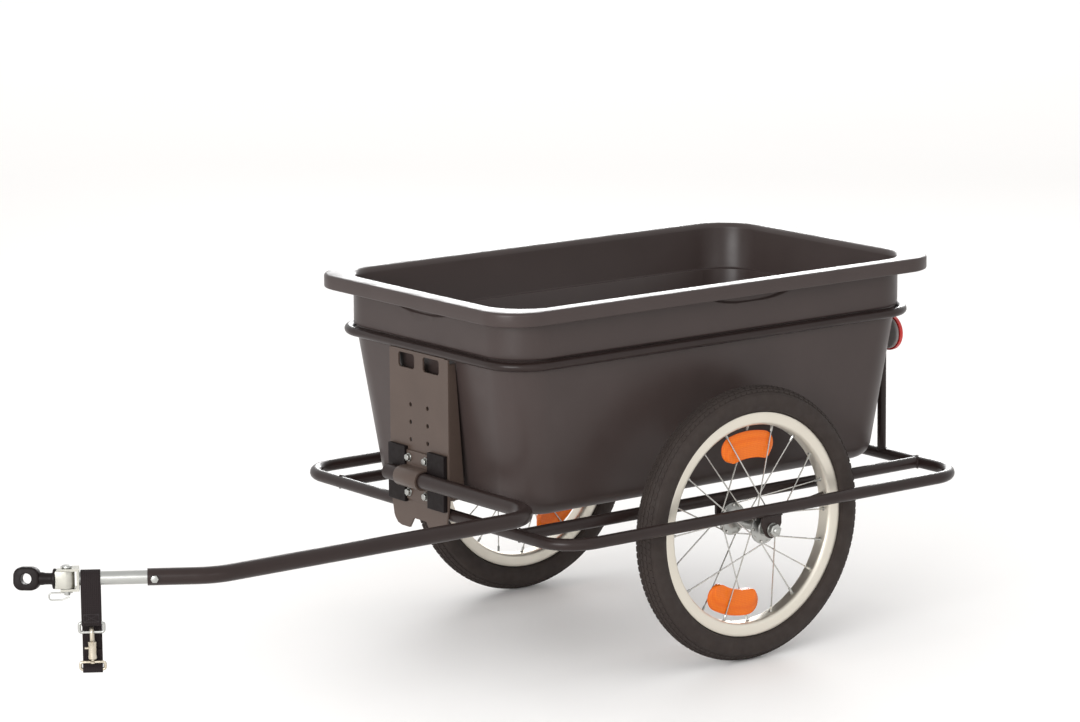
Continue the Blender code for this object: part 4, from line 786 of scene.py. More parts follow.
def frame_tubes():
    """The loop, the ring, the rails and the rear posts, with their weld beads."""
    loop_path = level_loop(LOOP_FRONT, LOOP_REAR, LOOP_Y, LOOP_CORNER, LOOP_Z)
    loop = tube(loop_path, LOOP_TUBE, 28, closed=True)
    piece("loop_tube", loop, PAINT, "frame", ["lower_loop"])
    ring_path = level_loop(RING_FRONT, RING_REAR, RING_Y, RING_CORNER, RING_Z)
    ring = tube(ring_path, RING_TUBE, 24, closed=True)
    piece("ring_tube", ring, PAINT, "frame", ["upper_ring"])
    for side, sign in SIDES:
        ends = (Vector((LOOP_REAR, sign * RAIL_Y, LOOP_Z)), Vector((LOOP_FRONT, sign * RAIL_Y, LOOP_Z)))
        welds = [
            saddle_weld(ends[0], (1, 0, 0), LOOP_TUBE / 2, LOOP_TUBE / 2),
            saddle_weld(ends[1], (-1, 0, 0), LOOP_TUBE / 2, LOOP_TUBE / 2),
        ]
        rail = join(tube(ends, LOOP_TUBE, 28), *welds)
        piece("rail_tube_" + side, rail, PAINT, "frame", ["inner_rail_" + side])
        foot = Vector((LOOP_REAR, sign * POST_Y, LOOP_Z))
        head = Vector((RING_REAR, sign * POST_Y, RING_Z))
        welds = [
            saddle_weld(foot, (0, 0, 1), RING_TUBE / 2, LOOP_TUBE / 2, 3.0 * MM),
            saddle_weld(head, (0, 0, -1), RING_TUBE / 2, RING_TUBE / 2, 3.0 * MM),
        ]
        post = join(tube((foot, head), RING_TUBE, 24), *welds)
        piece("post_tube_" + side, post, PAINT, "frame", ["rear_post_" + side])


def bracket_plates():
    """The four axle brackets, each with a weld bead along both sides of its top."""
    for side, _ in SIDES:
        for where in ("inner", "outer"):
            node = "axle_bracket_" + side + "_" + where
            low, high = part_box(node)
            y = (low.y + high.y) / 2
            top = LOOP_Z - LOOP_TUBE / 2
            beads = [bead((low.x, y + d, top), (high.x, y + d, top)) for d in (-3.2 * MM, 3.2 * MM)]
            plate = join(copy_of(node, 0.6 * MM), *beads)
            piece("bracket_plate_" + side + "_" + where, plate, PAINT, "frame", [node])


def plate_and_clamp():
    """The front plate with its welds, and the drawbar's clamp with its bolts, washers and nuts."""
    back, front = PLATE_HIGH.x - 3.0 * MM, PLATE_HIGH.x

    def across_plate(x, z, half, width):
        return bead((x, -half, z), (x, half, z), width)

    beads = [across_plate(back - 0.9 * MM, LOOP_Z + dz, 60 * MM, 2.6 * MM) for dz in (-4.6 * MM, 4.6 * MM)]
    beads.append(across_plate(front - 0.4 * MM, PLATE_HIGH.z, 62 * MM, 2.2 * MM))
    plate = join(copy_of("front_plate", 0.5 * MM), *beads)
    # The plate and the clamp strap take the powder coat painted lighter, a painted reflection of the bright floor
    piece("plate_sheet", plate, PAINT_WITH_PAINTED_REFLECTION, "frame", ["front_plate"])
    for side, _ in SIDES:
        name = "clamp_base_" + side
        piece("clamp_block_" + side, copy_of(name, 0.9 * MM, 3), NYLON, "frame", [name])
    piece("clamp_strap", copy_of("clamp_saddle", 0.5 * MM, 3), PAINT_WITH_PAINTED_REFLECTION, "frame", ["clamp_saddle"])
    for number in (1, 2, 3, 4):
        name = "clamp_bolt_" + str(number)
        low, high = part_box(name)
        at = Vector((high.x - 5.2 * MM, (low.y + high.y) / 2, (low.z + high.z) / 2))
        washer = lathe(chamfered(6.0 * MM, 0, 1.2 * MM, 0.25 * MM), 40)
        head = hexagon(M6_CORNER, 1.2 * MM, 5.2 * MM)
        shank = lathe([(3.0 * MM, -14 * MM), (3.0 * MM, 0.2 * MM)], 24)
        nut = hexagon(M6_CORNER, -11.4 * MM, -6.4 * MM)
        bolt = put(join(washer, head, shank, nut), standing(at, (1, 0, 0), (0, 0, 1)))
        piece("clamp_screw_" + str(number), bolt, ZINC, "frame", [name])


def chamfered(radius, low, high, chamfer):
    """The profile of a disc or a rod with both ends chamfered."""
    small = radius - chamfer
    return [(small, low), (radius, low + chamfer), (radius, high - chamfer), (small, high)]


# From the middle of a bolt head or a nut to its corners
M6_CORNER = 5.16 * MM
M6_LOCK_NUT_CORNER = 5.7 * MM
AXLE_NUT_CORNER = 9.7 * MM


def hexagon(corner, low, high, turn=0.0):
    """A hexagon head or nut between two heights, its corners and edges eased."""
    ease = corner * 0.1
    small, drop = corner - ease, ease * 0.6
    bm = lathe([(small, low), (corner, low + drop), (corner, high - drop), (small, high)], 6)
    bm.normal_update()
    edges = [edge for edge in bm.edges if edge.calc_face_angle(0) > math.radians(35)]
    rounded_edges(bm, edges, ease * 0.4)
    return put(bm, Matrix.Rotation(turn, 4, "Z"))


def rear_reflectors():
    """The two red rear reflectors: a grey dish with its foot against the post, and a lens with a step."""
    for side, _ in SIDES:
        low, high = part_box("rear_reflector_housing_" + side)
        at = Vector((high.x, (low.y + high.y) / 2, (low.z + high.z) / 2))
        place = standing(at, (-1, 0, 0), (0, 0, 1))
        housing = lathe(in_mm([(20.5, 0), (22.5, 0.3), (24.0, 1.4), (24.5, 2.8), (24.5, 4.0)]), 56)
        post_strap = lathe([(6.0 * MM, -0.5 * MM), (6.0 * MM, 1.0 * MM)], 24)
        back = put(join(housing, post_strap), place)
        piece("reflector_back_" + side, back, ABS, "frame", ["rear_reflector_housing_" + side])
        rings = [(27.0, 4.3), (27.0, 9.6), (26.5, 10.4), (25.6, 10.8), (24.8, 10.6), (24.2, 11.0)]
        rings += [(21.6, 12.2), (16.0, 12.9), (10.8, 13.25), (5.0, 13.3)]
        lens = lathe(in_mm(rings), 64)
        piece("reflector_lens_" + side, put(lens, place), RED, "frame", ["rear_reflector_lens_" + side])


# Wheels


def wheel_place(side, turn=0.0):
    """The wheel's own frame: X forward, Y down, Z along the axle to the left, turned back by the angle."""
    x, y, z = Vector((1, 0, 0)), Vector((0, 0, -1)), Vector((0, 1, 0))
    base = Matrix((x, y, z)).transposed().to_4x4()
    return Matrix.Translation(AXLE[side]) @ base @ Matrix.Rotation(-math.radians(turn), 4, "Z")


def tyre_carcass():
    """The open casing with its beads, and rows of tread blocks raised from it in a shallow chevron."""
    centre = TYRE_RADIUS - TYRE_SECTION
    steps = 120
    half_step = math.pi / steps
    lands = [-54, -50, -35, -32, -18, -15, -1.5, 1.5, 15, 18, 32, 35, 50, 54]
    walls = [60, 66, 74, 84, 94, 104, 114, 124]
    outside = []
    for angle in [-a for a in reversed(walls)] + lands + walls:
        radius = TYRE_SECTION - 1.5 * MM * (1 - smooth_between(52, 62, abs(angle)))
        t = math.radians(angle)
        outside.append((centre + radius * math.cos(t), radius * math.sin(t)))
    inner = TYRE_SECTION - 3.0 * MM
    inside = [(x - 1 * MM, y) for x, y in arc(centre, 0, inner, 118, -118, 14)]
    bead_out = RIM_HALF - 2.5 * MM
    thick = bead_out - 3.0 * MM
    over = RIM_FLANGE + 0.3 * MM
    foot = RIM_SEAT + 0.3 * MM
    heel = [(over, bead_out), (foot, bead_out), (foot, thick), (over + 2.1 * MM, thick)]
    other = [(r, -a) for r, a in reversed(heel)]
    bm = lathe(outside + heel + inside + other, steps, ring=True)
    bmesh.ops.remove_doubles(bm, verts=bm.verts, dist=TINY)
    bmesh.ops.recalc_face_normals(bm, faces=bm.faces)
    rows = list(zip(lands[1:-1:2], lands[2:-1:2]))
    blocks = []
    for face in bm.faces:
        middle_of = face.calc_center_median()
        reach = math.hypot(middle_of.x, middle_of.y) - centre
        section = math.degrees(math.atan2(middle_of.z, reach))
        outer = math.hypot(reach, middle_of.z) > TYRE_SECTION - 2.4 * MM
        if outer and any(a < section < b for a, b in rows):
            blocks.append(face)
    for vert in bm.verts:
        reach = math.hypot(vert.co.x, vert.co.y) - centre
        section = abs(math.degrees(math.atan2(vert.co.z, reach)))
        share = section / 54 if section < 56 else smooth_between(90, 56, section)
        lag = half_step * 1.6 * share
        vert.co.rotate(Matrix.Rotation(lag, 3, "Z"))
    bmesh.ops.inset_individual(bm, faces=blocks, thickness=0.9 * MM, depth=0.0, use_even_offset=True)
    bmesh.ops.inset_individual(bm, faces=blocks, thickness=0.35 * MM, depth=1.35 * MM, use_even_offset=True)
    return bm


def rim_hoop():
    """The rim, from its inside round the flange to its seat and well."""
    one_side = [(142.0, 0.0), (142.0, 6.6), (142.3, 8.4), (143.4, 10.6), (145.2, 12.2), (147.4, 12.8)]
    one_side += [(156.5, 13.3), (159.8, 13.5), (160.6, 13.2), (160.8, 12.5), (160.6, 11.7)]
    one_side += [(159.9, 11.3), (153.2, 11.3)]
    one_side += [(152.5, 10.6), (150.4, 7.4), (149.6, 5.6), (149.5, 0.0)]
    return lathe(in_mm(mirrored(one_side)), 160, ring=True)


def spoke_line(index, flange):
    """Where a spoke's head sits, where it leaves the flange, its direction and its seat in the rim."""
    step = 360 / SPOKES_A_SIDE
    rim_angle = step * index + (step / 2 if flange < 0 else 0)
    lead = SPOKE_LEAD if index % 2 else -SPOKE_LEAD
    hub_angle = math.radians(rim_angle + lead)
    rim_angle = math.radians(rim_angle)
    out = 1 if index % 2 else -1
    flat = Vector((math.cos(hub_angle), math.sin(hub_angle), 0)) * SPOKE_HOLE_RADIUS
    last = Vector((math.cos(rim_angle), math.sin(rim_angle), 0)) * (RIM_INSIDE + 0.6 * MM)
    first = flat + UP * flange * (HUB_HALF + out * 1.9 * MM)
    aim = (last - first).normalized()
    nose = flat + UP * flange * (HUB_HALF - out * 3.0 * MM)
    return nose, first, aim, last


def spokes():
    """Twenty bent spokes with their heads."""
    parts = []
    for flange in (1, -1):
        for index in range(SPOKES_A_SIDE):
            nose, first, aim, last = spoke_line(index, flange)
            path = [nose, first - aim * 0.1 * MM, first + aim * 1.5 * MM, last - aim * 9 * MM]
            parts.append(tube(path, SPOKE_WIRE, 10))
            head = lathe([(1.7 * MM, -0.6 * MM), (1.9 * MM, 0), (1.5 * MM, 0.8 * MM)], 12)
            parts.append(put(head, standing(nose, (nose - first).normalized())))
    return join(*parts)


def nipples():
    """The spoke nipples: a square neck and a round foot seated on the rim."""
    parts = []
    for flange in (1, -1):
        for index in range(SPOKES_A_SIDE):
            _, _, aim, last = spoke_line(index, flange)
            place = standing(last - aim * 0.2 * MM, -aim)
            neck = lathe([(1.9 * MM, 0), (1.9 * MM, 8.2 * MM), (1.4 * MM, 9.2 * MM)], 6)
            foot = lathe([(3.2 * MM, 0), (3.2 * MM, 0.5 * MM), (2.2 * MM, 1.5 * MM)], 16)
            parts += [put(neck, place), put(foot, place)]
    return join(*parts)


def hub_shell():
    """The hub, from its waist over the flange and the end cap to its bore."""
    one_side = [(8.5, 0.0), (8.5, 24.0), (9.2, 27.5), (12.0, 30.6), (16.0, 32.2), (22.6, 32.5)]
    one_side += [(23.3, 32.8), (23.5, 34.0), (23.3, 35.2), (22.6, 35.5), (13.5, 35.5), (11.4, 36.2)]
    one_side += [(11.0, 37.0), (10.6, 37.9), (9.6, 38.0), (8.6, 38.0), (8.3, 37.0), (8.3, 32.0)]
    one_side += [(6.25, 32.0), (6.25, 0.0)]
    return lathe(in_mm(mirrored(one_side)), 56, ring=True)


def axle_rod():
    """The axle, threaded towards both ends, with its cones."""
    half = 65.1
    profile = [(3.8, -half), (4.5, -half + 0.7)]
    z = -half + 1.0
    while z < -half + 14:
        profile += [(4.75, z), (4.3, z + 0.5)]
        z += 1.0
    profile += [(4.75, z), (4.75, -z)]
    z = -z
    while z < half - 1.0:
        profile += [(4.3, z + 0.5), (4.75, z + 1.0)]
        z += 1.0
    profile += [(4.5, half - 0.5), (3.8, half)]
    rod = lathe(in_mm(profile), 28)
    cones = []
    for sign in (1, -1):
        cone = [(4.6, 33.0), (7.4, 34.5), (7.6, 38.4), (8.1, 38.6), (8.1, 46.6), (7.7, 47.0), (4.6, 47.0)]
        cones.append(lathe(in_mm([(r, sign * a) for r, a in cone]), 36, ring=True))
    return rod, join(*cones)


def wheel_reflector(angle):
    """A lens bar along the wheel's curve; it thins towards its outer edge and has a raised prism panel."""
    radius, width, length, thick = 114.0, 38.0, 96.0, 10.0
    trim = width * 0.24
    edge = 0.6

    def outline(r, w, long):
        half = math.degrees((long - w) / 2 / r)
        cap = w / 2
        points = arc(0, 0, r + cap, -half, half, 16)
        for sign in (1, -1):
            t = math.radians(sign * half)
            start = half if sign > 0 else 180 - half
            points += arc(r * math.cos(t), r * math.sin(t), cap, start, start + 180, 14)[1:-1]
            if sign > 0:
                points += arc(0, 0, r - cap, half, -half, 16)
        return points

    def cut_in(amount):
        """The outline that far in, in parts of the full taper."""
        t = trim * amount
        return outline(radius - t, width - 2 * t, length - 2 * t)

    half = thick / 2
    levels = [(0.00, edge * 0.5), (0.05, edge + 0.1), (0.55, edge + (half - edge) * 0.5), (0.9, half - 0.8)]
    levels += [(0.98, half - 0.35), (1.08, half - 0.05), (1.2, half), (1.32, half - 0.35)]
    stack = [(t, -z) for t, z in reversed(levels)] + levels
    loops = [in_mm([(x, y, z) for x, y in cut_in(t)]) for t, z in stack]
    return put(loft(loops), Matrix.Rotation(-math.radians(angle), 4, "Z"))


def valve():
    """The valve on the wheel's X axis: a threaded stem and its cap."""
    stem = [(3.0, 116.0), (3.25, 116.6), (3.25, 121.0)]
    z = 121.0
    while z < 131.0:
        stem += [(3.25, z), (2.95, z + 0.5)]
        z += 1.0
    stem += [(3.25, z), (3.25, 160.0)]
    cap = [(2.6, 113.6), (3.3, 114.2), (3.3, 119.6), (3.0, 120.0)]
    parts = [lathe(in_mm(profile), 20) for profile in (stem, cap)]
    return put(join(*parts), Matrix.Rotation(math.radians(90), 4, "Y"))


def wheel(side, turn):
    """All that turns on one side: tyre, rim, hub, spokes, inner tube and reflectors."""
    place = wheel_place(side)
    turned = wheel_place(side, turn)
    body = "wheel_" + side
    piece("tyre_casing_" + side, put(tyre_carcass(), place), RUBBER, body, ["tyre_" + side], sharp=28)
    piece("rim_hoop_" + side, put(rim_hoop(), place), ALLOY, body, ["rim_" + side], sharp=28)
    piece("hub_shell_" + side, put(hub_shell(), place), ZINC, body, ["spoked_hub_" + side])
    piece("spokes_" + side, put(spokes(), turned), WIRE, body)
    piece("nipples_" + side, put(nipples(), turned), ZINC, body)
    ring = lathe(arc(INNER_TUBE_AT, 0, INNER_TUBE_RADIUS, 0, 345, 23), 96, ring=True)
    stem = put(valve(), Matrix.Rotation(-math.radians(VALVE_ANGLE), 4, "Z"))
    inside = put(join(ring, stem), turned)
    piece("inner_tube_and_valve_" + side, inside, RUBBER, body, ["inner_tube_" + side])
    for number, angle in enumerate(REFLECTOR_ANGLES, 1):
        end = side + "_" + str(number)
        lens = put(wheel_reflector(angle), turned)
        piece("wheel_lens_" + end, lens, ORANGE, body, ["spoke_reflector_" + end])


def axle(side, sign):
    """The fixed axle of one wheel with its cones, washers and nuts."""
    place = wheel_place(side)
    rod, cones = axle_rod()
    piece("axle_rod_" + side, put(rod, place), ZINC, "frame", ["axle_" + side])
    names = ["bearing_cone_" + side + "_inner", "bearing_cone_" + side + "_outer"]
    piece("cones_" + side, put(cones, place), ZINC, "frame", names)
    for where, out in (("inner", -sign), ("outer", sign)):
        node = "axle_nut_" + side + "_" + where
        low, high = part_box(node)
        at = Vector((AXLE[side].x, low.y if out > 0 else high.y, AXLE[side].z))
        washer = lathe(chamfered(9.8 * MM, 0, 1.5 * MM, 0.3 * MM), 48)
        nut = hexagon(AXLE_NUT_CORNER, 1.5 * MM, 9.0 * MM, math.radians(12))
        whole = put(join(washer, nut), standing(at, (0, out, 0)))
        piece("nut_" + side + "_" + where, whole, ZINC, "frame", [node])


# Drawbar and hitch

HITCH_FRAME = standing(HITCH_ORIGIN, UP, HITCH_ALONG)


def drawbar_bar():
    """The bent drawbar with its open nose and plugged end, the hitch tube in it and their cross bolt."""
    side = HITCH_ORIGIN.y - CLAMP_AT.y
    bend = HITCH_ORIGIN - CLAMP_AT
    corners = [(0, -57 * MM, 0), (0, side, 0), tuple(bend), tuple(bend + HITCH_ALONG * 85 * MM)]
    path = [CLAMP_AT + point for point in rounded_path(corners, [57 * MM, 80 * MM], 28)]
    bar = open_ends(tube(path, DRAWBAR_TUBE, 36), 1.75 * MM, 14 * MM)
    piece("drawbar_tube", bar, PAINT, "drawbar", ["drawbar"])
    plug = lathe([(9.1 * MM, 0), (9.1 * MM, 6 * MM), (8.2 * MM, 7 * MM)], 32)
    put(plug, standing(CLAMP_AT + Vector((0, -50 * MM, 0)), (0, -1, 0)))
    piece("drawbar_plug", plug, NYLON, "drawbar")
    wall = [(6.75, 33.0), (8.5, 33.0), (8.75, 33.3), (8.75, 170.0), (8.5, 170.2), (6.75, 170.2)]
    inner = lathe(in_mm(wall), 40, ring=True)
    piece("hitch_bar", put(inner, standing(HITCH_ORIGIN, HITCH_ALONG, UP)), ZINC, "drawbar", ["hitch_tube"])
    at = HITCH_FRAME @ Vector((76 * MM, DRAWBAR_TUBE / 2 + 0.3 * MM, 0))
    across = HITCH_FRAME.to_3x3() @ Vector((0, 1, 0))
    head = hexagon(M6_CORNER, 0, 4 * MM)
    shank = lathe([(3 * MM, -30.5 * MM), (3 * MM, 0.1 * MM)], 24)
    piece("drawbar_screw", put(join(head, shank), standing(at, across)), ZINC, "drawbar", ["drawbar_bolt"])
    nut = hexagon(M6_LOCK_NUT_CORNER, -27.6 * MM, -22.6 * MM)
    piece("drawbar_lock_nut", put(nut, standing(at, across)), ZINC, "drawbar", ["drawbar_nut"])


def hitch_parts():
    """The fork, the hitch pin with its head and clip, and the knuckle."""
    fork = copy_of("hitch_fork", 1.0 * MM, 3)
    piece("fork_casting", fork, CAST, "drawbar", ["hitch_fork"])
    pin = [(2.8, -21.0), (3.6, -20.7), (4.0, -20.0), (4.0, 14.8), (6.2, 14.8), (6.5, 15.1), (6.5, 16.4)]
    pin += [(6.1, 17.2), (4.9, 17.7), (2.5, 17.8)]
    bm = put(lathe(in_mm(pin), 40), standing(PIN_AT, UP, HITCH_ALONG))
    piece("pin_with_head", bm, ZINC, "drawbar", ["hitch_pin"])
    corners = [(-7, 0, -17.75), (23, 0, -17.75), (23, 0, -27.25), (7, 0, -27.25), (-3.5, 0, -22.8)]
    path = rounded_path(in_mm(corners), [4 * MM, 4 * MM, 2.8 * MM], 8)
    clip = put(tube(path, 2 * MM, 12), standing(PIN_AT, UP, HITCH_ALONG))
    piece("clip_wire", clip, ZINC, "drawbar", ["hitch_pin_clip"])
    piece("knuckle_casting", copy_of("hitch_knuckle", 1.3 * MM, 3), CAST, "knuckle", ["hitch_knuckle"])


def hitch_eye():
    """The black eye: a flange and a waisted neck turned on its axis, and a bored block with eased edges."""
    profile = [(5.0, 7.2), (5.0, 14.0), (12.6, 14.0), (13.0, 14.4), (13.0, 16.6), (12.6, 17.0), (8.6, 17.2)]
    profile += [(7.6, 18.6), (7.3, 22.0), (7.5, 27.0), (8.25, 31.5), (8.25, 38.0)]
    neck = lathe(in_mm(profile), 44)
    x = HEAD_ALONG
    z = Matrix.Rotation(math.radians(10), 3, x) @ UP
    put(neck, standing(PIN_AT, x, z))
    middle_x = 50.5

    def block(inset):
        sizes = (16.5 - inset, 14.75 - inset, 11 - inset)
        return rounded_outline(*sizes, corner=14, along_x=4, along_y=4)

    def bore(radius):
        found = []
        for px, pz in block(0):
            reach = math.hypot(px, pz)
            found.append((px / reach * radius, pz / reach * radius))
        return found

    levels = [(bore(7.8), -10.0)]
    for angle in (90, 60, 30, 0):
        t = math.radians(angle)
        levels.append((block(3 * (1 - math.cos(t))), -7 - 3 * math.sin(t)))
    levels += [(outline, -y) for outline, y in reversed(levels)]
    levels += [(bore(7.0), 9.2), (bore(7.0), -9.2)]
    loops = [in_mm([(middle_x + px, y, pz) for px, pz in outline]) for outline, y in levels]
    eye = loft(loops, ring=True)
    put(eye, Matrix.Translation(PIN_AT) @ Matrix((x, z.cross(x), z)).transposed().to_4x4())
    piece("eye_and_neck", join(neck, eye), NYLON, "head", ["hitch_head"])


# Safety strap

STRAP_FRAME = standing(STRAP_AT, UP, HITCH_ALONG)

# Millimetres from the hitch tube's middle, as (y, z) or as a height
WEBBING_WIDTH = 25.0
RING_AT = (6.95, -56.0)
SNAP_Y = 0.75
HOOK_TOP = -63.4
BARREL_TOP = -81.7
BARREL_LOW = -104.7
TOP_BAR = -108.7
LOW_BAR = -118.2


def strap_path():
    """The strap's line: round its ring, up over the hitch tube, down round the swivel ring and back up."""
    over = 10.25
    turn = 3.3
    inner = SNAP_Y - 6.8
    outer = inner - 2.6
    path = [(RING_AT[0] - turn, RING_AT[1] + 15)]
    path += arc(*RING_AT, turn, 180, 360, 18)
    path += [(over, -30.0), (over + 0.25, -15.0)]
    path += arc(0, 0, over, 0, 180, 30)
    path += [(outer - 0.3, -18.0), (outer, -35.0), (outer, -60.0), (outer, -85.0), (outer, TOP_BAR)]
    path += arc(SNAP_Y, LOW_BAR, turn, 205, 435, 22)
    path += [(inner + 0.5, TOP_BAR - 0.8), (inner, TOP_BAR + 3), (inner, TOP_BAR + 15)]
    return path


def band(path, width, thickness):
    """Webbing along a path of (y, z) in millimetres, with a UV in metres; returns it and its length."""
    fine = [Vector(path[0])]
    for point in path[1:]:
        point = Vector(point)
        parts = max(int((point - fine[-1]).length / 2.0), 1)
        start = fine[-1]
        fine += [start.lerp(point, i / parts) for i in range(1, parts + 1)]
    lengths = [0.0]
    for a, b in zip(fine, fine[1:]):
        lengths.append(lengths[-1] + (b - a).length)
    normals = []
    for i in range(len(fine)):
        ahead = (fine[min(i + 1, len(fine) - 1)] - fine[max(i - 1, 0)]).normalized()
        normals.append(Vector((-ahead.y, ahead.x)))
    half, thick = width / 2, thickness / 2
    flat_side = [(half - 0.5 - (width - 1.0) * i / 8, thick) for i in range(9)]
    section = [(half, 0), (half - 0.1, thick * 0.6), *flat_side, (-half + 0.1, thick * 0.6)]
    section += [(-x, -t) for x, t in section]
    loops = []
    for point, normal in zip(fine, normals):
        loops.append(in_mm([(x, *(point + normal * t)) for x, t in section]))
    bm = loft(loops)
    layer = bm.loops.layers.uv.new("band")
    nearest = {}
    for vert in bm.verts:
        spot = Vector((vert.co.y, vert.co.z)) / MM
        nearest[vert] = min(range(len(fine)), key=lambda i: (fine[i] - spot).length_squared)
    for face in bm.faces:
        for corner in face.loops:
            corner[layer].uv = (corner.vert.co.x, lengths[nearest[corner.vert]] * MM)
    return bm, lengths[-1] * MM


def stitches(y, z_low, z_high, half_width, outward):
    """Rows of lock stitches that hold a turned-back end: a box with a cross in it."""
    low_side = [(-half_width, z_low), (half_width, z_low)]
    corners = [*low_side, (half_width, z_high), (-half_width, z_high), low_side[0]]
    lines = list(zip(corners, corners[1:])) + [(corners[0], corners[2]), (corners[1], corners[3])]
    parts = []
    for start, end in lines:
        start, end = Vector(start), Vector(end)
        count = max(int((end - start).length / 3.0), 2)
        for i in range(count):
            a, b = start.lerp(end, (i + 0.12) / count), start.lerp(end, (i + 0.88) / count)
            mid = (a + b) / 2
            path = [(a.x, y, a.y), (mid.x, y + outward * 0.35, mid.y), (b.x, y, b.y)]
            parts.append(tube(in_mm(path), 0.7 * MM, 6))
    return join(*parts)


def wire_ring(clear_x, clear_z, wire, at):
    """A rounded wire ring with that clear opening, hung from a point (y, z) in millimetres."""
    half_x, half_z = (clear_x + wire) / 2, (clear_z + wire) / 2
    outline = rounded_outline(half_x, half_z, 3.0, corner=8, along_x=3, along_y=3)
    y, z = at
    path = in_mm([(x, y, z - half_z + dz) for x, dz in outline])
    return tube(path, wire * MM, 16, closed=True)


def safety_strap():
    """The folded webbing with its two rows of stitches, and its wire ring."""
    webbing, length = band(strap_path(), WEBBING_WIDTH, 2.0)
    strap = piece("webbing", put(webbing, STRAP_FRAME), WEBBING, "strap", ["safety_strap"], sharp=50)
    rows = [stitches(11.35, -54, -44, 9.5, 1), stitches(-9.7, TOP_BAR + 3, TOP_BAR + 13, 9.5, -1)]
    piece("strap_stitches", put(join(*rows), STRAP_FRAME), THREAD, "strap")
    ring = wire_ring(27.0, 8.0, 4.0, RING_AT)
    piece("strap_d_ring", put(ring, STRAP_FRAME), ZINC, "strap", ["strap_ring"])


def bolt_snap():
    """The bolt snap: barrel and hook, its sliding bolt, and the swivel ring under it."""
    barrel = [(3.4, BARREL_TOP), (4.6, BARREL_TOP), (5.3, BARREL_TOP - 0.5), (5.5, BARREL_TOP - 1.4)]
    barrel += [(5.1, BARREL_TOP - 3.2), (5.1, BARREL_LOW + 6.0), (5.5, BARREL_LOW + 3.6)]
    barrel += [(5.5, BARREL_LOW + 0.8), (4.9, BARREL_LOW), (3.4, BARREL_LOW)]
    body = lathe(in_mm(barrel), 36, ring=True)
    root, reach, rise = 5.6, 12.5, HOOK_TOP - BARREL_TOP
    corners = [(0, root, -4.0), (0, root + 1, 2.0), (0, reach, 6.0)]
    corners += [(0, reach, rise), (0, 0, rise), (0, 0, rise - 2.9)]
    path = rounded_path(in_mm(corners), [3 * MM, 3 * MM, 4.5 * MM, 1.8 * MM], 10)
    hook = put(tube(path, 4.6 * MM, 18), Matrix.Translation((0, 0, BARREL_TOP * MM)))
    floor_plate = lathe([(4.0 * MM, BARREL_LOW * MM), (4.0 * MM, (BARREL_LOW + 3.0) * MM)], 24)
    whole = put(join(body, hook, floor_plate), Matrix.Translation((0, SNAP_Y * MM, 0)))
    piece("snap_casting", put(whole, STRAP_FRAME), SNAP, "strap", ["snap_hook"])
    rod = copy_of("snap_bolt", 0.25 * MM)
    piece("snap_plunger", rod, SNAP, "snap_bolt", ["snap_bolt"])
    swivel = wire_ring(27.0, 5.5, 4.0, (SNAP_Y, TOP_BAR))
    stem = [(2.2, BARREL_LOW + 1.5), (2.2, TOP_BAR + 1.6), (3.2, TOP_BAR + 0.6), (3.2, TOP_BAR - 1.6)]
    stem = put(lathe(in_mm(stem), 24), Matrix.Translation((0, SNAP_Y * MM, 0)))
    piece("swivel_ring", put(join(swivel, stem), STRAP_FRAME), SNAP, "strap", ["snap_swivel"])


frame_tubes()
bracket_plates()
plate_and_clamp()
rear_reflectors()
for wheel_side, outward in SIDES:
    wheel(wheel_side, RIGHT_WHEEL_TURN if outward < 0 else 0.0)
    axle(wheel_side, outward)
drawbar_bar()
hitch_parts()
hitch_eye()
safety_strap()
bolt_snap()


# Carried-over nodes


def dress_nodes():
    """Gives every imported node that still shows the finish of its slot."""
    for row in frame["record"]["subparts"]:
        obj = frame["nodes"].get(row["node"])
        if obj and not obj.hide_render:
            obj.data.materials.clear()
            obj.data.materials.append(SLOT_FINISHES[row["material_slot"]][0])


dress_nodes()


# Studio

CAMERA_AT = Vector((AXLE["left"].x + 3.5406, 4.3856, 1.4852))
CAMERA_TOWARDS = Vector((AXLE["left"].x + 0.1657, 0.0, 0.4110))
CAMERA_ROLL = math.radians(-0.32)
FOCAL_PIXELS = 3949.75
PHOTO_WIDTH = 1080
SENSOR_WIDTH = 36.0
FLOOR_REACH = 14.0
ROOM_FILL = 0.95


def camera():
    """The photo's camera, as fitted to the photo: place, aim, roll and focal length."""
    data = bpy.data.cameras.new("photo_camera")
    data.sensor_width = SENSOR_WIDTH
    data.lens = FOCAL_PIXELS / PHOTO_WIDTH * SENSOR_WIDTH
    data.clip_start = 0.1
    data.clip_end = 60.0
    made = bpy.data.objects.new("photo_camera", data)
    forward = (CAMERA_TOWARDS - CAMERA_AT).normalized()
    right = forward.cross(UP).normalized()
    up = right.cross(forward)
    turned_right = right * math.cos(CAMERA_ROLL) + up * math.sin(CAMERA_ROLL)
    turned_up = -right * math.sin(CAMERA_ROLL) + up * math.cos(CAMERA_ROLL)
    turn = Matrix((turned_right, turned_up, -forward)).transposed().to_4x4()
    made.matrix_world = Matrix.Translation(CAMERA_AT) @ turn
    bpy.context.scene.collection.objects.link(made)
    bpy.context.scene.camera = made


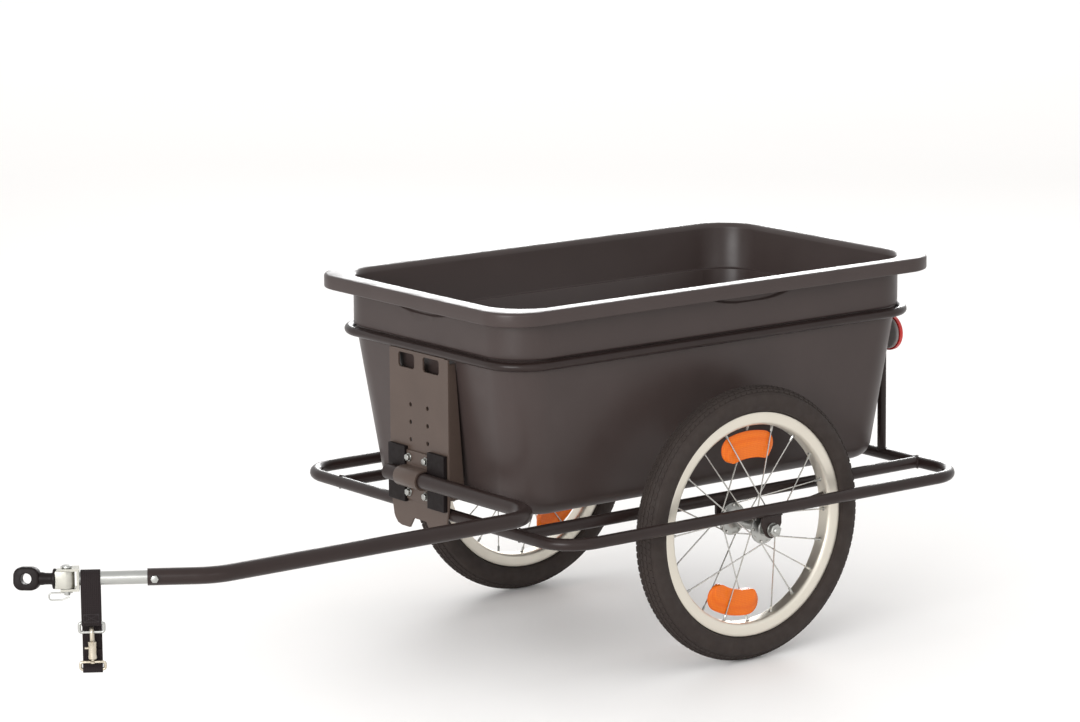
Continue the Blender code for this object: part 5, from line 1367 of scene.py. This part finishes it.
def floor():
    """The studio floor, a plain square under the trailer and not attached to any of its bodies."""
    bm = bmesh.new()
    bmesh.ops.create_grid(bm, x_segments=1, y_segments=1, size=FLOOR_REACH)
    mesh = bpy.data.meshes.new("studio_floor")
    bm.to_mesh(mesh)
    bm.free()
    mesh.materials.append(studio_floor())
    made = bpy.data.objects.new("studio_floor", mesh)
    bpy.context.scene.collection.objects.link(made)


def softbox(name, at, towards, width, height, watts, spread=180):
    """A soft rectangular lamp that looks from one point towards another."""
    data = bpy.data.lights.new(name, "AREA")
    data.shape = "RECTANGLE"
    data.size = width
    data.size_y = height
    data.energy = watts
    data.spread = math.radians(spread)
    made = bpy.data.objects.new(name, data)
    aim = (Vector(towards) - Vector(at)).normalized()
    made.matrix_world = Matrix.Translation(Vector(at)) @ aim.to_track_quat("-Z", "Y").to_matrix().to_4x4()
    bpy.context.scene.collection.objects.link(made)


def studio_world():
    """A white room for the eye and for reflections, and a plain soft fill for the light."""
    world = bpy.data.worlds.new("studio")
    bpy.context.scene.world = world
    world.use_nodes = True
    tree = world.node_tree
    tree.nodes.clear()
    path = add(tree, "ShaderNodeLightPath")
    seen = path.outputs["Is Camera Ray"]
    for ray in ("Is Glossy Ray", "Is Transmission Ray"):
        either = add(tree, "ShaderNodeMath", {"operation": "MAXIMUM"}, i0=seen, i1=path.outputs[ray])
        seen = either.outputs[0]
    fill = add(tree, "ShaderNodeBackground", Color=linear("FDFCFB"), Strength=ROOM_FILL)
    white = add(tree, "ShaderNodeBackground", Color=linear("FFFFFF"), Strength=1.0)
    mix = add(tree, "ShaderNodeMixShader", Fac=seen, i1=fill.outputs[0], i2=white.outputs[0])
    add(tree, "ShaderNodeOutputWorld", Surface=mix.outputs[0])


camera()
floor()
softbox("key_in_front", (3.3, 1.7, 1.3), (-0.1, 0.0, 0.4), width=2.2, height=1.0, watts=88)
softbox("side", (0.8, 4.7, 1.5), (-0.1, 0.0, 0.4), width=1.6, height=0.6, watts=10)
softbox("behind", (-4.6, -4.2, 1.7), (-0.3, 0.0, 0.45), width=3.6, height=1.4, watts=16, spread=50)
softbox("over_the_far_floor", (-6.0, -7.0, 4.0), (-6.0, -7.0, 0.0), width=8.0, height=6.0, watts=60)
studio_world()
bpy.context.scene.view_settings.view_transform = "Standard"
